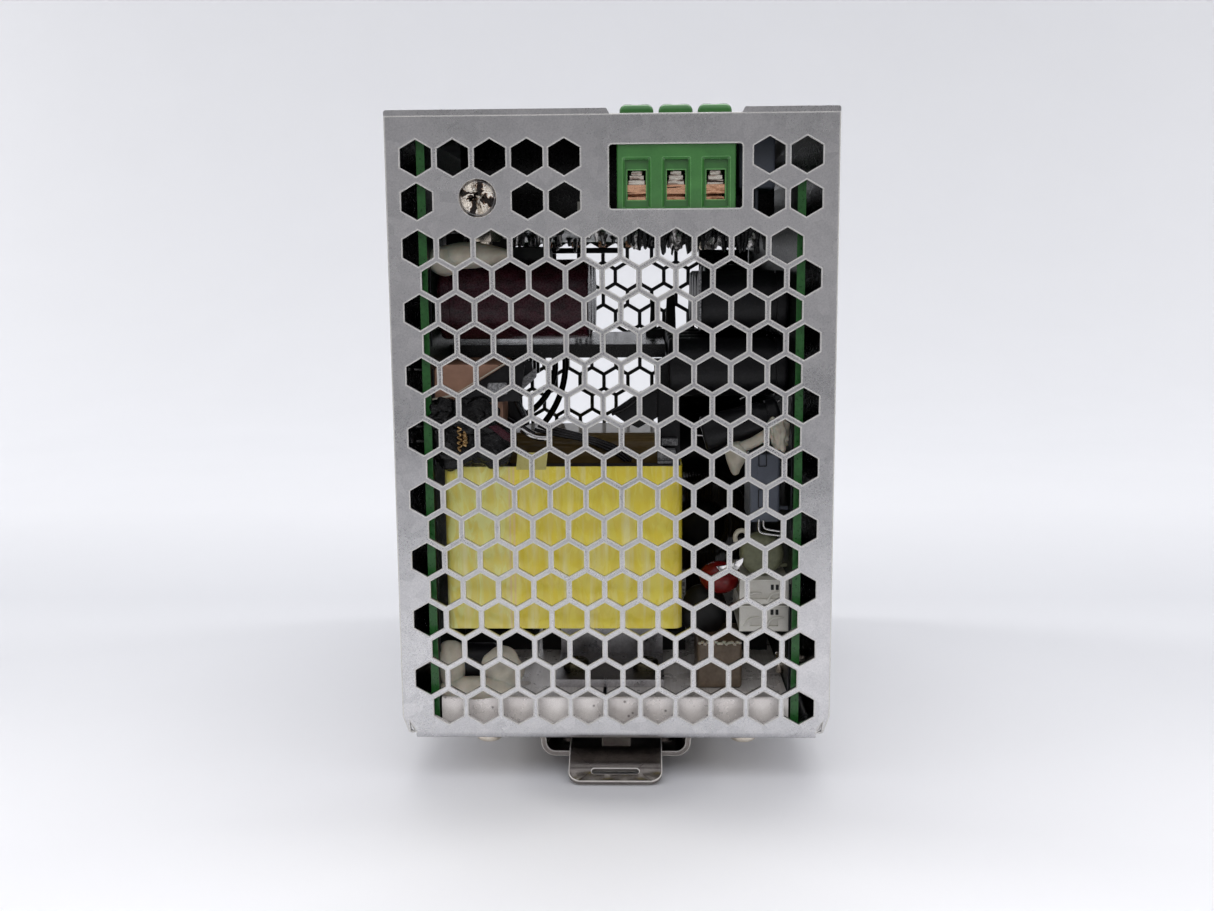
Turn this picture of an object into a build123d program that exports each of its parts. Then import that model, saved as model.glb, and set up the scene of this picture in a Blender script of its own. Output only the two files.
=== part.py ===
from build123d import *
import math
import os

# DIN rail power supply in a perforated steel case, millimetres.
# +Z runs from the rail out to the front panel, +Y from the input end to the output end.
# The origin is the centre of the face that rests on the rail.
# Heights are measured from the rear wall's outer face, depths from the input end's outer face.

# ---- case
CASE_WIDTH = 85.5
CASE_HEIGHT = 125.2
CASE_DEPTH = 123.2
REAR_Z = 5.3
SHEET = 1.0
SLIP = 0.05
CHASSIS_HALF_WIDTH = CASE_WIDTH / 2 - SHEET - SLIP
SIDE_FLANGE_HEIGHT = 14.0
SIDE_FLANGE_HALF_LENGTH = 59.6
SIDE_FLANGE_BEND = 2.5
END_BEND = 1.5
BEND_EASE = 0.01
END_FOOT_HALF_WIDTH = 40.1
TOP_CORNER = 0.2
END_HALF_WIDTH = 42.7
EAR_OUTLINE = ((41.5, 1.55), (41.95, 2.8), (42.4, 4.0), (42.7, 4.9))
EAR_SLOT_CENTRE = (40.75, 2.05)
EAR_SLOT_RADIUS = 0.45
EAR_SLOT_TIP = (41.4, 3.8)
COVER_LOWER_HEIGHT = 4.0
COVER_BEND = 0.5

# ---- hexagonal perforation
HEX_PITCH = 7.0
HEX_FLATS = 6.02
HEX_ROW_STEP = HEX_PITCH * math.sqrt(3) / 2
HEX_COLUMNS = 11
HEX_ROWS = 16
HEX_TOP_ROW_HEIGHT = 97.6
HEX_FIRST_X = -36.9
UPPER_ROW_HEIGHT = 114.4
LOWER_ROW_HEIGHT = 106.35
INPUT_UPPER_HOLES = (-36.9, -29.9, -22.9, -15.9, -8.9, 29.6, 36.6)
INPUT_LOWER_HOLES = (-36.9, -15.9, -8.9, 29.6, 36.6)
OUTPUT_UPPER_HOLES = (-36.9, -29.9, 13.1, 20.1, 27.1, 34.1)
OUTPUT_LOWER_HOLES = (-36.9, -29.9, 13.1, 34.1)

# ---- terminal openings in the end walls and front panel
WINDOW_LOW = 104.65
WINDOW_HIGH = 116.6
WINDOW_CORNER = 0.6
INPUT_WINDOW = (-0.5, 24.6)
OUTPUT_WINDOW = (-25.0, 7.0)
NOTCH_MARGIN = 0.15
NOTCH_SLANT = 0.6
NOTCH_DEPTH = 13.7

# ---- terminal blocks
POLE_PITCH = 7.5
INPUT_POLES = 3
OUTPUT_POLES = 4
INPUT_BLOCK_X = 12.2
OUTPUT_BLOCK_X = -9.0
BLOCK_FRONT = 1.2
BLOCK_BACK = 14.0
BLOCK_BASE = 102.95
BLOCK_SHOULDER = 119.4
BLOCK_TOP = 124.7
BUMP_WIDTH = 6.5
BUMP_FRONT = 6.0
BUMP_ROUND = 1.4
ENTRY_WIDTH = 5.4
ENTRY_LOW = 104.6
ENTRY_HIGH = 114.3
ENTRY_LIP = 0.45
ENTRY_FLOOR = 2.9
THROAT_WIDTH = 3.6
THROAT_LOW = 106.4
THROAT_HIGH = 112.0
THROAT_DEPTH = 3.3
CAVITY_HALF_WIDTH = 2.6
CAVITY_BACK = 13.0
CAVITY_LOW = 104.5
CAVITY_HIGH = 117.2
SCREW_DEPTH = 9.0
FUNNEL_RADIUS = 2.3
TERMINAL_SHANK_RADIUS = 1.5
TERMINAL_HEAD_RADIUS = 2.1
TERMINAL_HEAD_LOW = 116.45
TERMINAL_HEAD_HIGH = 118.6
PLATE_LOW = 109.35
PLATE_HIGH = 112.0
SWIVEL_RADIUS = 0.9
BAR_LOW = 107.6
BAR_HIGH = 109.3
NUT_LOW = 114.6
NUT_HIGH = 116.2
PIN_LOW = 99.6
FLOOR_LOW = 106.45
FLOOR_HIGH = 107.0
UPRIGHT_FRONT = 11.3
BLADE_DEPTHS = (11.5, 12.3)
PLATE_TIERS = ((1.5, 4.0, 0.95), (1.32, 4.25, 1.85), (1.0, 4.5, 2.65))
PLATE_GROOVE = 0.16
PLATE_BACK = 11.0

# ---- boards
BOARD = 1.6
POWER_BOARD_X = -37.3
SECONDARY_BOARD_X = 35.3
BOARD_FRONT = 3.0
BOARD_BACK = 122.0
SIDE_BOARD_LOW = 2.5
POWER_BOARD_HIGH = 118.0
SECONDARY_BOARD_HIGH = 110.5
TERMINAL_BOARD_LOW = 101.3
TERMINAL_BOARD_X = (-33.0, 33.5)
FIXING_HEIGHT = 10.6
FIXING_YS = (-45.0, 0.0, 45.0)
INSULATION = 0.4
INSULATION_X = 40.0
INSULATION_LOW = 15.5
INSULATION_HIGH = 119.0

# ---- M3 hardware
M3_SHANK = 1.45
M3_HOLE = 1.5
M3_CLEARANCE = 1.6
M3_HEAD = 2.75
M3_HEAD_HEIGHT = 2.0
COUNTERSINK = 3.05
RECESS_WIDTH = 0.7
RECESS_DEPTH = 0.7

# ---- screws in the end walls and the brackets behind them
END_SCREW_RADIUS = 3.1
DIMPLE_RADIUS = 3.6
DIMPLE_DEPTH = 0.6
END_SCREW_X = -25.35
END_SCREW_HEIGHT = 106.9
OUTPUT_SCREW_X = 23.6
BRACKET_LEG_GAP = 0.05
BRACKET_FOOT_DEPTH = 10.0

# ---- rail bracket and latch
RAIL_HALF_WIDTH = 17.5
BRACKET_SHEET = 1.1
BRACKET_HALF_WIDTH = 15.3
BRACKET_BRIM = 23.4
BRACKET_MOUTH_Y = -58.0
BRACKET_FAR_Y = 38.0
BRACKET_CORNER = 3.0
HOOK_GAP = 1.3
HOOK_X = 8.0
HOOK_HALF_WIDTH = 3.5
HOOK_LIP_Y = 14.9
HOOK_LEG_Y = 17.9
LATCH_TRAVEL = 4.5
LATCH_LOW = 1.25
LATCH_HALF_WIDTH = 12.0
NECK_HALF_WIDTH = 9.4
NECK_Y = -50.0
LATCH_BACK_Y = -10.0
TAB_BEND_Y = -58.9
TAB_LENGTH = 8.8
TAB_ANGLE = 28.0
TAB_CORNER = 2.6
TAB_SLOT_HALF = 4.7
TAB_SLOT_WIDTH = 1.3
TAB_SLOT_INSET = 2.6
TOOTH_HALF_WIDTH = 5.0
TOOTH_LEG_Y = -19.0
TOOTH_TIP_Y = -15.3
SPRING_STOP_Y = -52.1
SPRING_PUSH_Y = -39.9
SPRING_RADIUS = 1.45
SPRING_WIRE = 0.25
SPRING_TURNS = 8
SPRING_Z = 2.95
BRACKET_SCREW_X = 19.4
BRACKET_SCREW_YS = (-50.0, 30.0)
REAR_SCREW_X = 26.0
REAR_SCREW_DEPTHS = (6.0, 119.2)

# ---- parts inside, each as x low, x high, depth low, depth high, height low, height high
TRANSFORMER = (-34.2, 13.6, 6.0, 44.0, 21.3, 54.6)
WINDING = (-21.5, 8.8, 13.0, 37.0, 19.0, 60.0)
INDUCTOR = (-35.4, -22.0, 6.0, 29.0, 57.0, 75.0)
CROSS_PLATE = (-35.4, 10.7, 30.0, 85.0, 74.6, 77.5)
LEFT_BAR = (-35.4, -2.6, 4.0, 121.0, 1.1, 7.5)
RIGHT_BAR = (-1.8, 35.0, 4.0, 121.0, 1.1, 7.5)
LINK_PLATE = (-12.5, 10.0, 10.0, 30.0, 7.55, 9.15)
LINK_SCREW_XS = (-8.6, 6.2)
LINK_SCREW_DEPTH = 18.0
FILM_BODY = (16.8, 26.0, 9.0, 24.0, 7.6, 17.5)
BOX_BODY = (27.2, 33.3, 9.0, 22.0, 42.5, 56.5)
CONNECTOR_BODY = (25.3, 35.2, 8.0, 26.0, 20.0, 31.0)
X_CAPACITOR = (24.5, 31.5, 8.0, 26.0, 108.6, 120.0)
CHOKE_CENTRE = (-20.0, 46.0, 105.0)
CHOKE_RADII = (5.0, 10.5)
CHOKE_HEIGHT = 12.0
BULK_RADIUS = 8.0
BULK_X = (-35.0, -5.0)
BULK_HEIGHT = 87.5
BULK_DEPTHS = (16.2, 33.0, 49.8)
OUTPUT_CAN_RADIUS = 6.0
OUTPUT_CAN_TIERS = ((11.0, 35.0, 73.5), (17.0, 35.0, 87.0))
OUTPUT_CAN_DEPTHS = (17.0, 30.5, 44.0, 57.5)
REAR_CAN_RADIUS = 9.0
REAR_CAN_TIERS = ((13.5, 35.0, 47.5), (13.5, 35.0, 66.5), (21.5, 35.0, 85.5))
REAR_CAN_DEPTHS = (83.0, 102.0)
RING_CENTRE = (20.0, 68.5, 31.0)
RING_RADII = (5.5, 12.5)
RING_HALF_WIDTH = 6.0
RING_BASE = (16.5, 23.5, 69.0, 75.0, 7.6, 21.0)
THERMISTOR_CENTRE = (30.0, 12.0, 35.5)
THERMISTOR_RADIUS = 4.5
TRANSISTOR_CENTRES = (-27.0, -9.5, 7.5, 26.0)
TRANSISTOR_DEPTHS = (36.0, 56.0)
SMALL_CAN_RADIUS = 3.6
FUSE_CENTRE = (-4.0, 22.0, 107.4)
FUSE_RADIUS = 2.6
FUSE_LENGTH = 20.0

# ---- front controls
ADJUSTER_XY = (13.0, 45.0)
ADJUSTER_BODY_SIDE = 8.0
ADJUSTER_BODY_HIGH = 113.0
ADJUSTER_SHAFT = 2.0
ADJUSTER_PIN = 1.5
LED_XY = (22.0, 45.0)
LED_RADIUS = 1.5


def above_rear(height):
    return REAR_Z + height


def from_input_end(depth):
    return depth - CASE_HEIGHT / 2


def block(x_low, x_high, y_low, y_high, z_low, z_high):
    centre = Pos((x_low + x_high) / 2, (y_low + y_high) / 2, (z_low + z_high) / 2)
    return centre * Box(x_high - x_low, y_high - y_low, z_high - z_low)


def inner_block(x_low, x_high, depth_low, depth_high, height_low, height_high):
    return block(
        x_low,
        x_high,
        from_input_end(depth_low),
        from_input_end(depth_high),
        above_rear(height_low),
        above_rear(height_high),
    )


def rod_x(x_low, x_high, y, z, radius):
    return Pos((x_low + x_high) / 2, y, z) * Rot(0, 90, 0) * Cylinder(radius, x_high - x_low)


def rod_y(x, y_low, y_high, z, radius):
    return Pos(x, (y_low + y_high) / 2, z) * Rot(90, 0, 0) * Cylinder(radius, y_high - y_low)


def rod_z(x, y, z_low, z_high, radius):
    return Pos(x, y, (z_low + z_high) / 2) * Cylinder(radius, z_high - z_low)


def rounded_edges(solid, axis, radius):
    return fillet(solid.edges().filter_by(axis), radius)


def rounded_all(solid, radius):
    return fillet(solid.edges(), radius)


def edges_at(solid, axis, first, first_value, second, second_value):
    """Straight edges along axis that pass through the two stated coordinates."""
    found = []
    for edge in solid.edges().filter_by(axis):
        centre = edge.center()
        near_first = abs(getattr(centre, first) - first_value) < 0.01
        near_second = abs(getattr(centre, second) - second_value) < 0.01
        if near_first and near_second:
            found.append(edge)
    return found


def cross_recess(span, width, depth):
    """Two crossing slots cut downwards from z = 0."""
    along = block(-span, span, -width / 2, width / 2, -depth, 1.0)
    across = block(-width / 2, width / 2, -span, span, -depth, 1.0)
    return along + across


def pan_screw(length):
    """M3 pan head screw with its bearing face on z = 0 and its shank towards -Z."""
    head = Cylinder(M3_HEAD, M3_HEAD_HEIGHT, align=(Align.CENTER, Align.CENTER, Align.MIN))
    head = fillet(head.edges().sort_by(Axis.Z)[-1], 0.9)
    head -= Pos(0, 0, M3_HEAD_HEIGHT) * cross_recess(1.6, RECESS_WIDTH, 1.1)
    shank = rod_z(0, 0, -length, 0.0, M3_SHANK)
    return head + shank


# ---------------------------------------------------------------- case
def hexagon_wire(x, z, y):
    radius = HEX_FLATS / math.sqrt(3)
    corners = []
    for step in range(6):
        angle = math.radians(60 * step + 30)
        corners.append((x + radius * math.cos(angle), y, z + radius * math.sin(angle)))
    return Wire.make_polygon(corners, close=True)


def grid_centres():
    centres = []
    for row in range(HEX_ROWS):
        shift = HEX_PITCH / 2 if row % 2 else 0.0
        height = HEX_TOP_ROW_HEIGHT - row * HEX_ROW_STEP
        for column in range(HEX_COLUMNS):
            centres.append((HEX_FIRST_X + shift + column * HEX_PITCH, above_rear(height)))
    return centres


def end_wall(y_outer, inward, window, upper_holes, lower_holes):
    """Flat part of a perforated end wall, from its foot to just under the front panel."""
    top = above_rear(CASE_DEPTH) - SHEET - SLIP
    foot = above_rear(END_BEND)
    right = [(END_FOOT_HALF_WIDTH, foot)]
    right += [(x, above_rear(height)) for x, height in EAR_OUTLINE]
    right += [(END_HALF_WIDTH, top - TOP_CORNER), (END_HALF_WIDTH - TOP_CORNER, top)]
    left = [(-x, z) for x, z in reversed(right)]
    outline = [(x, y_outer, z) for x, z in right + left]
    centres = grid_centres()
    centres += [(x, above_rear(UPPER_ROW_HEIGHT)) for x in upper_holes]
    centres += [(x, above_rear(LOWER_ROW_HEIGHT)) for x in lower_holes]
    holes = [hexagon_wire(x, z, y_outer) for x, z in centres]
    sheet = Face(Wire.make_polygon(outline, close=True), holes)
    wall = extrude(sheet, amount=SHEET, dir=(0, inward, 0))
    cutter = block(
        window[0],
        window[1],
        y_outer - 2 * SHEET,
        y_outer + 2 * SHEET,
        above_rear(WINDOW_LOW),
        above_rear(WINDOW_HIGH),
    )
    wall -= rounded_edges(cutter, Axis.Y, WINDOW_CORNER)
    for side in (-1, 1):
        wall -= ear_slot(side, y_outer)
    return wall


def ear_slot(side, y_outer):
    """Drop-shaped relief where the end wall meets the case's lower corner."""
    x, height = EAR_SLOT_CENTRE
    tip_x, tip_height = EAR_SLOT_TIP
    low_y = y_outer - 2 * SHEET
    high_y = y_outer + 2 * SHEET
    round_end = rod_y(side * x, low_y, high_y, above_rear(height), EAR_SLOT_RADIUS)
    run = math.hypot(tip_x - x, tip_height - height)
    across_x = EAR_SLOT_RADIUS * (tip_height - height) / run
    across_z = EAR_SLOT_RADIUS * (tip_x - x) / run
    corners = [
        (side * (x - across_x), low_y, above_rear(height + across_z)),
        (side * tip_x, low_y, above_rear(tip_height)),
        (side * (x + across_x), low_y, above_rear(height - across_z)),
    ]
    wedge = extrude(Face(Wire.make_polygon(corners, close=True)), amount=high_y - low_y, dir=(0, 1, 0))
    return round_end + wedge


def rear_tray():
    """Rear wall with the bends into the end walls and the short side flanges."""
    half_length = CASE_HEIGHT / 2
    foot = above_rear(END_BEND)
    strip = block(-END_FOOT_HALF_WIDTH, END_FOOT_HALF_WIDTH, -half_length, half_length, REAR_Z, foot)
    strip -= block(
        -CASE_WIDTH, CASE_WIDTH, SHEET - half_length, half_length - SHEET, above_rear(SHEET), 2 * foot
    )
    outer = []
    for y in (-half_length, half_length):
        outer += edges_at(strip, Axis.X, "Y", y, "Z", REAR_Z)
    strip = fillet(outer, END_BEND - BEND_EASE)
    inner = []
    for y in (SHEET - half_length, half_length - SHEET):
        inner += edges_at(strip, Axis.X, "Y", y, "Z", above_rear(SHEET))
    strip = fillet(inner, END_BEND - SHEET - BEND_EASE)
    top = above_rear(SIDE_FLANGE_HEIGHT)
    side = SIDE_FLANGE_HALF_LENGTH
    width = CHASSIS_HALF_WIDTH
    channel = block(-width, width, -side, side, REAR_Z, top)
    channel -= block(SHEET - width, width - SHEET, -2 * side, 2 * side, above_rear(SHEET), 2 * top)
    outer = []
    for x in (-width, width):
        outer += edges_at(channel, Axis.Y, "X", x, "Z", REAR_Z)
    channel = fillet(outer, SIDE_FLANGE_BEND)
    inner = []
    for x in (-width + SHEET, width - SHEET):
        inner += edges_at(channel, Axis.Y, "X", x, "Z", above_rear(SHEET))
    channel = fillet(inner, SIDE_FLANGE_BEND - SHEET)
    return strip + channel


def chassis():
    near = -CASE_HEIGHT / 2
    far = CASE_HEIGHT / 2
    body = rear_tray()
    body += end_wall(near, 1, INPUT_WINDOW, INPUT_UPPER_HOLES, INPUT_LOWER_HOLES)
    body += end_wall(far, -1, OUTPUT_WINDOW, OUTPUT_UPPER_HOLES, OUTPUT_LOWER_HOLES)
    for x, height, y, inward in end_screw_places():
        body = dimpled(body, x, above_rear(height), y, inward)
    for y in FIXING_YS:
        body -= rod_x(-CASE_WIDTH, CASE_WIDTH, y, above_rear(FIXING_HEIGHT), M3_HOLE)
    for x, y in bracket_screw_places() + rear_screw_places():
        body -= rod_z(x, y, REAR_Z - SHEET, REAR_Z + 3 * SHEET, M3_CLEARANCE)
    return body


def end_screw_places():
    half = CASE_HEIGHT / 2
    return [
        (END_SCREW_X, END_SCREW_HEIGHT, -half, 1),
        (OUTPUT_SCREW_X, END_SCREW_HEIGHT, half, -1),
    ]


def dimpled(wall, x, z, y, inward):
    """Pressed seat for an end wall screw: a shallow cone pushed towards the inside."""
    turn = Rot(-90 * inward, 0, 0)
    place = Pos(x, y, z) * turn
    boss_floor = SHEET + DIMPLE_DEPTH
    boss = Pos(0, 0, boss_floor / 2 + SHEET / 4) * Cone(
        DIMPLE_RADIUS + 0.4, END_SCREW_RADIUS, boss_floor - SHEET / 2
    )
    hollow = Pos(0, 0, DIMPLE_DEPTH / 2) * Cone(DIMPLE_RADIUS, END_SCREW_RADIUS + 0.1, DIMPLE_DEPTH)
    wall += place * boss
    wall -= place * hollow
    wall -= place * Cylinder(M3_HOLE, 4 * SHEET)
    return wall


def bracket_screw_places():
    return [(x, y) for x in (-BRACKET_SCREW_X, BRACKET_SCREW_X) for y in BRACKET_SCREW_YS]


def rear_screw_places():
    ys = [from_input_end(depth) for depth in REAR_SCREW_DEPTHS]
    return [(x, y) for x in (-REAR_SCREW_X, REAR_SCREW_X) for y in ys]


def front_notch(window, y_low, y_high):
    """Cutter for a terminal notch in the front panel, a little wider towards the front."""
    top = above_rear(CASE_DEPTH)
    low_x = window[0] + NOTCH_MARGIN
    high_x = window[1] - NOTCH_MARGIN
    corners = [
        (low_x, y_low, top - 2 * SHEET),
        (low_x, y_low, top - SHEET),
        (low_x - NOTCH_SLANT, y_low, top + SLIP),
        (high_x + NOTCH_SLANT, y_low, top + SLIP),
        (high_x, y_low, top - SHEET),
        (high_x, y_low, top - 2 * SHEET),
    ]
    return extrude(Face(Wire.make_polygon(corners, close=True)), amount=y_high - y_low, dir=(0, 1, 0))


def cover():
    """Side walls and front panel in one folded sheet."""
    width = CASE_WIDTH / 2
    length = CASE_HEIGHT / 2
    low = above_rear(COVER_LOWER_HEIGHT)
    top = above_rear(CASE_DEPTH)
    shell = block(-width, width, -length, length, low, top)
    shell -= block(SHEET - width, width - SHEET, -2 * length, 2 * length, 0, top - SHEET)
    outer = edges_at(shell, Axis.Y, "X", -width, "Z", top) + edges_at(shell, Axis.Y, "X", width, "Z", top)
    shell = fillet(outer, COVER_BEND)
    side_end = length - SHEET - SLIP
    for y_low, y_high in ((-2 * length, -side_end), (side_end, 2 * length)):
        shell -= block(-CASE_WIDTH, CASE_WIDTH, y_low, y_high, 0, top - SHEET)
    notch_low = top - 2 * SHEET
    notch_high = top + SHEET
    shell -= front_notch(INPUT_WINDOW, -length - SHEET, NOTCH_DEPTH - length)
    shell -= front_notch(OUTPUT_WINDOW, length - NOTCH_DEPTH, length + SHEET)
    shell -= rod_z(*ADJUSTER_XY, notch_low, notch_high, ADJUSTER_SHAFT + 0.5)
    shell -= rod_z(*LED_XY, notch_low, notch_high, LED_RADIUS + 0.1)
    for side in (-1, 1):
        for y in FIXING_YS:
            sink = Pos(side * (width - SHEET / 2), y, above_rear(FIXING_HEIGHT)) * Rot(0, 90 * side, 0)
            shell -= sink * Cone(COUNTERSINK - SHEET, COUNTERSINK, SHEET)
            shell -= sink * Cylinder(COUNTERSINK - SHEET, 2 * SHEET)
    return shell


def front_label():
    """Blank printed film on the front panel between the terminals and the controls."""
    film = 0.15
    top = above_rear(CASE_DEPTH)
    sheet = block(-39.0, 39.0, -45.0, 40.0, top, top + film)
    sheet = rounded_edges(sheet, Axis.Z, 2.0)
    return sheet


def countersunk_screw():
    """M3 countersunk screw, head face on z = 0, shank towards -Z."""
    head_depth = SHEET - SLIP
    head = Pos(0, 0, -head_depth / 2) * Cone(COUNTERSINK - SLIP - head_depth, COUNTERSINK - SLIP, head_depth)
    head -= cross_recess(1.5, RECESS_WIDTH, RECESS_DEPTH)
    shank = rod_z(0, 0, -3.9, -RECESS_DEPTH - 0.1, M3_SHANK)
    return head + shank


def cover_screws():
    screws = []
    for side in (-1, 1):
        for y in FIXING_YS:
            place = Pos(side * (CASE_WIDTH / 2 - SLIP), y, above_rear(FIXING_HEIGHT))
            screws.append(place * Rot(0, 90 * side, 0) * countersunk_screw())
    return screws


def end_wall_screws():
    """Combination slot and cross head screws that hold the terminal board brackets."""
    head_height = 1.7
    head = Cylinder(END_SCREW_RADIUS, head_height, align=(Align.CENTER, Align.CENTER, Align.MIN))
    head = fillet(head.edges().sort_by(Axis.Z)[-1], 1.0)
    slot = block(-4.0, 4.0, -0.45, 0.45, head_height - 0.9, head_height + 1.0)
    head -= slot
    head -= Pos(0, 0, head_height) * cross_recess(1.55, 0.8, 1.2)
    shank = rod_z(0, 0, -4.2, 0.0, M3_SHANK)
    screw = head + shank
    placed = []
    for x, height, y, inward in end_screw_places():
        seat = y + inward * DIMPLE_DEPTH
        turn = Rot(90 * inward, 0, 0) * Rot(0, 0, 104)
        placed.append(Pos(x, seat, above_rear(height)) * turn * screw)
    return placed


def terminal_board_brackets():
    """Angle brackets between each end wall and the board that carries the terminals."""
    brackets = []
    leg_start = SHEET + DIMPLE_DEPTH + BRACKET_LEG_GAP
    board_top = TERMINAL_BOARD_LOW + BOARD + SLIP
    thick = 1.2
    half = 5.5
    upright = inner_block(-half, half, leg_start, leg_start + thick, board_top, 112.0)
    foot = inner_block(-half, half, leg_start, 14.0, board_top, board_top + thick)
    bracket = upright + foot
    bracket -= rod_y(0, -CASE_HEIGHT, 0, above_rear(END_SCREW_HEIGHT), M3_HOLE)
    bracket -= rod_z(0, from_input_end(BRACKET_FOOT_DEPTH), 0, 2 * CASE_DEPTH, M3_CLEARANCE)
    brackets.append(Pos(END_SCREW_X, 0, 0) * bracket)
    brackets.append(Pos(OUTPUT_SCREW_X, 0, 0) * Rot(0, 0, 180) * bracket)
    return brackets


def insulation_sheets():
    sheets = []
    for side in (-1, 1):
        x_near = side * INSULATION_X
        x_far = side * (INSULATION_X + INSULATION)
        sheets.append(
            inner_block(
                min(x_near, x_far), max(x_near, x_far), 3.0, 122.0, INSULATION_LOW, INSULATION_HIGH
            )
        )
    return sheets


# ---------------------------------------------------------------- rail clip
def rail_bracket():
    """Stamped hat channel with two hooks for the rail, fixed under the rear wall."""
    brim_low = REAR_Z - SLIP - BRACKET_SHEET
    brim_high = REAR_Z - SLIP
    inner = BRACKET_HALF_WIDTH - BRACKET_SHEET
    right = [
        (BRACKET_HALF_WIDTH, 0.0),
        (BRACKET_HALF_WIDTH, brim_low),
        (BRACKET_BRIM, brim_low),
        (BRACKET_BRIM, brim_high),
        (inner, brim_high),
        (inner, BRACKET_SHEET),
    ]
    left = [(-x, z) for x, z in reversed(right)]
    outline = [(x, BRACKET_MOUTH_Y, z) for x, z in right + left]
    section = Face(Wire.make_polygon(outline, close=True))
    channel = extrude(section, amount=BRACKET_FAR_Y - BRACKET_MOUTH_Y, dir=(0, 1, 0))
    for x, z, radius in (
        (BRACKET_HALF_WIDTH, 0.0, BRACKET_CORNER),
        (inner, BRACKET_SHEET, BRACKET_CORNER - BRACKET_SHEET),
        (BRACKET_HALF_WIDTH, brim_low, 0.8),
        (inner, brim_high, 1.9),
    ):
        edges = edges_at(channel, Axis.Y, "X", x, "Z", z) + edges_at(channel, Axis.Y, "X", -x, "Z", z)
        channel = fillet(edges, radius)
    channel = fillet(corner_edges(channel), 3.0)
    hook_outer = HOOK_LEG_Y + BRACKET_SHEET
    for x in (-HOOK_X, HOOK_X):
        low = x - HOOK_HALF_WIDTH
        high = x + HOOK_HALF_WIDTH
        channel -= block(low - 0.2, high + 0.2, HOOK_LIP_Y - 0.3, hook_outer, -SHEET, 2 * SHEET)
        lip_low = -HOOK_GAP - BRACKET_SHEET
        leg = block(low, high, HOOK_LEG_Y, hook_outer + 0.3, lip_low, BRACKET_SHEET)
        leg -= block(low - 1, high + 1, hook_outer, hook_outer + 1, lip_low - 1, 0.0)
        lip = block(low, high, HOOK_LIP_Y, hook_outer, lip_low, -HOOK_GAP)
        hook = leg + lip
        hook = fillet(edges_at(hook, Axis.X, "Y", hook_outer, "Z", lip_low), 1.0)
        channel += hook
    slot_low = TOOTH_LEG_Y - LATCH_TRAVEL - 0.4
    channel -= block(
        -TOOTH_HALF_WIDTH - 0.4, TOOTH_HALF_WIDTH + 0.4, slot_low, TOOTH_TIP_Y + 0.5, -SHEET, 2 * SHEET
    )
    channel -= block(-3.2, 3.2, SPRING_STOP_Y, SPRING_STOP_Y + 4.0, -SHEET, 2 * SHEET)
    channel += block(-3.0, 3.0, SPRING_STOP_Y - BRACKET_SHEET, SPRING_STOP_Y, 0.5, 4.6)
    for x, y in bracket_screw_places():
        channel -= rod_z(x, y, 0, 2 * REAR_Z, M3_CLEARANCE)
    return channel


def corner_edges(channel):
    """Upright edges at the four outer corners of the brims."""
    found = []
    for edge in channel.edges().filter_by(Axis.Z):
        if abs(abs(edge.center().X) - BRACKET_BRIM) < 0.01:
            found.append(edge)
    return found


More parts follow.
